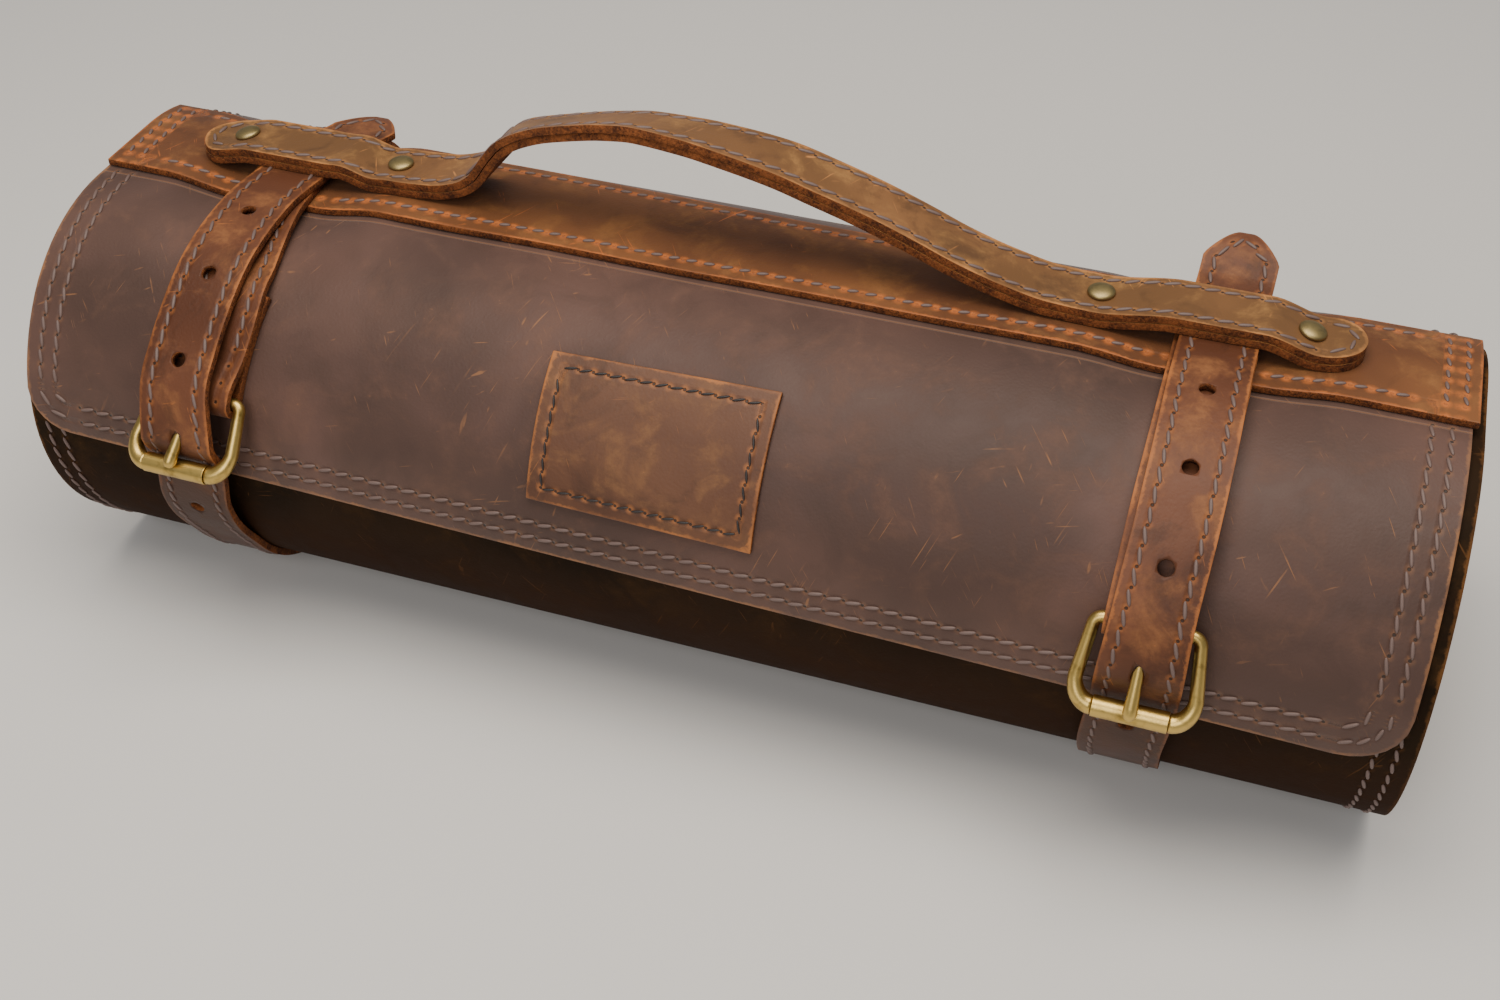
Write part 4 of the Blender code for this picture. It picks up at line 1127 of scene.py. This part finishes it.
def brass_finish(name, dark, bright, rough):
    """Brass from tarnished to bright, with fine brushing in its roughness and its bump."""
    made, add, finish = new_material(name)
    where = add("PLACE")
    tarnish = add("CLOUDS", where, 1 / (6 * MM), 4.0, 0.6, 0.3)
    brushed = add("CLOUDS", where, 1 / (0.5 * MM), 3.0, 0.6)
    finish({
        "Base Color": add("BLEND", add("FADE", tarnish, 0.2, 0.52), hexed(dark), hexed(bright)),
        "Roughness": add("FADE", brushed, 0.3, 0.7, rough - 0.04, rough + 0.05),
        "Normal": add("BUMP", brushed, 0.04 * MM, 0.35), "Metallic": 1.0,
    })
    return made


aged_brass = brass_finish("satin_antique_brass", "#8a6f36", "#c9ab62", 0.36)
rivet_brass = brass_finish("dull_antique_brass", "#6f6040", "#9f8d60", 0.47)


def wire(name, points, width, closed, radii=None):
    """A round wire along points, with its ends closed."""
    curve = bpy.data.curves.new(name, "CURVE")
    curve.dimensions, curve.bevel_depth, curve.bevel_resolution = "3D", width / 2, 7
    curve.use_fill_caps = True
    spline = curve.splines.new("POLY")
    spline.points.add(len(points) - 1)
    for i, (place, point) in enumerate(zip(spline.points, points)):
        place.co = (*point, 1)
        place.radius = radii[i] if radii else 1.0
    spline.use_cyclic_u = closed
    spline.use_smooth = True
    curve.materials.append(aged_brass)
    made = new_object(name, curve)
    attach(made, "root")
    return made


# %% [markdown]
# Each buckle is a frame of round wire, a roller made of rolled sheet with its seam, and a
# prong whose tip is rounded.

# %% Build the buckles
X_AXIS = Vector((1, 0, 0))
ROLLER_SEAM, PRONG_LOOP = math.radians(150), math.radians(285)
# The prong's shank: shares of the way from the bar to the tip, and of its wire's radius.
PRONG_SHANK = (
    (0.12, 0.85), (0.3, 1.0), (0.6, 1.05), (0.85, 1.28), (0.93, 1.26), (0.97, 1.0), (0.995, 0.5))
for side in SIDES:
    bar, roller, forward, skewed, out, reach = buckle_axes(side)
    front_x, front_end = (BUCKLE_WIDTH - WIRE) / 2, ROLLER_LENGTH / 2 + GAP
    bar_end = STRAP_WIDTH / 2 + WIRE / 2 + 2 * GAP
    half_loop = [(ROLLER_LENGTH / 2, reach, 1.0)]
    for i in range(13):
        a = math.pi / 2 * i / 12
        half_loop.append((
            front_end + (front_x - front_end) * math.sin(a),
            reach - BUCKLE_FRONT_CORNER * (1 - math.cos(a)), through(CORNER_SWELL, i / 12)))
    for i in range(11):
        a = math.pi / 2 * i / 10
        half_loop.append((
            bar_end - BUCKLE_BAR_CORNER * (1 - math.cos(a)), BUCKLE_BAR_CORNER * (1 - math.sin(a)),
            REAR_WIRE_SHARE))
    loop = half_loop + [(-x, f, share) for x, f, share in reversed(half_loop)]
    frame_points = [bar + X_AXIS * x + skewed * f for x, f, _ in loop]
    frame_wire = wire("brass_frame_" + side, frame_points, WIRE, True, [share for _, _, share in loop])
    stands_for(frame_wire, "aged_brass", "buckle_frame_" + side)

    rim_radius = (ROLLER_DIAMETER - ROLLER_WALL) / 2

    def place_roller(angle, x):
        around = out * math.cos(ROLLER_SEAM + angle) + forward * math.sin(ROLLER_SEAM + angle)
        return roller + X_AXIS * x + around * rim_radius

    tube = leather(
        "brass_roller_" + side, spaced(math.radians(3), math.radians(357), math.radians(8)),
        edged(-ROLLER_LENGTH / 2, ROLLER_LENGTH / 2, 6 * MM, 0.3 * MM), place_roller,
        lambda angle, x: (x, 5 * MM), ROLLER_WALL, aged_brass, 0.12 * MM, aged_brass)
    stands_for(tube, "aged_brass", "buckle_roller_" + side)

    start, end, angle, loop_radius = shank_ends(side)
    prong, radii = [], []
    for turned in spaced(angle + PRONG_LOOP, angle, math.radians(9)):
        prong.append(bar + loop_radius * (math.cos(turned) * forward + math.sin(turned) * out))
        radii.append(PRONG_LOOP_WIRE / PRONG_WIRE)
    for share, radius in PRONG_SHANK:
        prong.append(start.lerp(end, share))
        radii.append(radius)
    prong_wire = wire("brass_prong_" + side, prong, PRONG_WIRE, False, radii)
    stands_for(prong_wire, "aged_brass", "buckle_prong_" + side)

# %% [markdown]
# A rivet is a domed cap on a short post, so its outline is turned round one axis. It sits
# square on the handle, wherever that bends.

# %% Set the rivets
RIVET_POST_LENGTH = 8 * MM
cap_radius, post_radius = RIVET_CAP / 2, RIVET_POST / 2
for name, x in rivet_x.items():
    tops = [on_handle(x + cap_radius * step / 4, 0, stack / 2)[0] for step in range(-4, 5)]
    chord = (tops[-1] - tops[0]).normalized()
    out = Vector((-chord.z, 0, chord.x))
    seat = (tops[0] + tops[-1]) / 2
    seat += out * (max((top - seat).dot(out) for top in tops) + 0.1 * MM)
    outline = [
        (cap_radius * math.sin(math.radians(a)), RIVET_DOME * (0.25 + 0.75 * math.cos(math.radians(a))))
        for a in range(0, 91, 9)
    ]
    outline += [(cap_radius, 0.1 * RIVET_DOME), (cap_radius * 0.97, 0.0), (post_radius, 0.0)]
    outline += [(post_radius, -RIVET_POST_LENGTH), (0.0, -RIVET_POST_LENGTH)]
    bm = bmesh.new()
    verts = [bm.verts.new((across, 0, up)) for across, up in outline]
    for a, b in zip(verts, verts[1:]):
        bm.edges.new((a, b))
    mesh = mesh_of(bm, "brass_rivet_" + name)
    mesh.materials.append(rivet_brass)
    rivet = new_object(mesh.name, mesh)
    rivet.matrix_world = aimed(seat, out)
    turned = rivet.modifiers.new("turned", "SCREW")
    turned.steps = turned.render_steps = 48
    turned.use_merge_vertices, turned.merge_threshold, turned.use_smooth_shade = True, 0.01 * MM, True
    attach(rivet, "root")
    stands_for(rivet, "aged_brass", "rivet_" + name)

# %% [markdown]
# ## Floor, light and camera
# The roll lies on a plain pale floor under a large soft light from above and in front, as in a
# small studio. The camera stands where the photographer stood: in front, a little to the
# right, looking down.

# %% Stage the picture
bm = bmesh.new()
bmesh.ops.create_grid(bm, x_segments=1, y_segments=1, size=4.0)
floor = new_object("floor", mesh_of(bm, "floor"))
floor.data.materials.append(plain_finish("pale_paper_floor", "#d8d6d2", 0.9))

world = bpy.data.worlds.new("pale_studio")
world.use_nodes = True
world.node_tree.nodes["Background"].inputs["Color"].default_value = hexed("#e6e8ec")
world.node_tree.nodes["Background"].inputs["Strength"].default_value = 0.32
bpy.context.scene.world = world


def softbox(name, place, aim, width, height, watts, colour):
    """A large soft light of this size, aimed at a place."""
    light = bpy.data.lights.new(name, "AREA")
    light.shape, light.size, light.size_y = "RECTANGLE", width, height
    light.energy, light.color = watts, hexed(colour)[:3]
    made = new_object(name, light)
    made.location = place
    made.rotation_euler = (Vector(aim) - Vector(place)).to_track_quat("-Z", "Y").to_euler()


softbox("overhead_softbox", (0.05, -0.1, 1.2), (0, 0, 0.05), 1.1, 0.8, 17, "#fff6ea")
softbox("front_fill", (-0.05, -1.2, 0.9), (0, 0, 0.07), 0.8, 0.8, 9, "#f8f4f2")

CAMERA_PLACE = Vector((160.06, -460.61, 473.4)) * MM
YAW, PITCH = math.radians(-18.52), math.radians(41.30)
FOCAL_LENGTH, SENSOR_WIDTH = 43.99, 36
camera = new_object("camera", bpy.data.cameras.new("camera"))
camera.data.lens, camera.data.sensor_width = FOCAL_LENGTH, SENSOR_WIDTH
look = Vector((math.sin(YAW) * math.cos(PITCH), math.cos(YAW) * math.cos(PITCH), -math.sin(PITCH)))
camera.location = CAMERA_PLACE
camera.rotation_euler = look.to_track_quat("-Z", "Y").to_euler()
bpy.context.scene.camera = camera
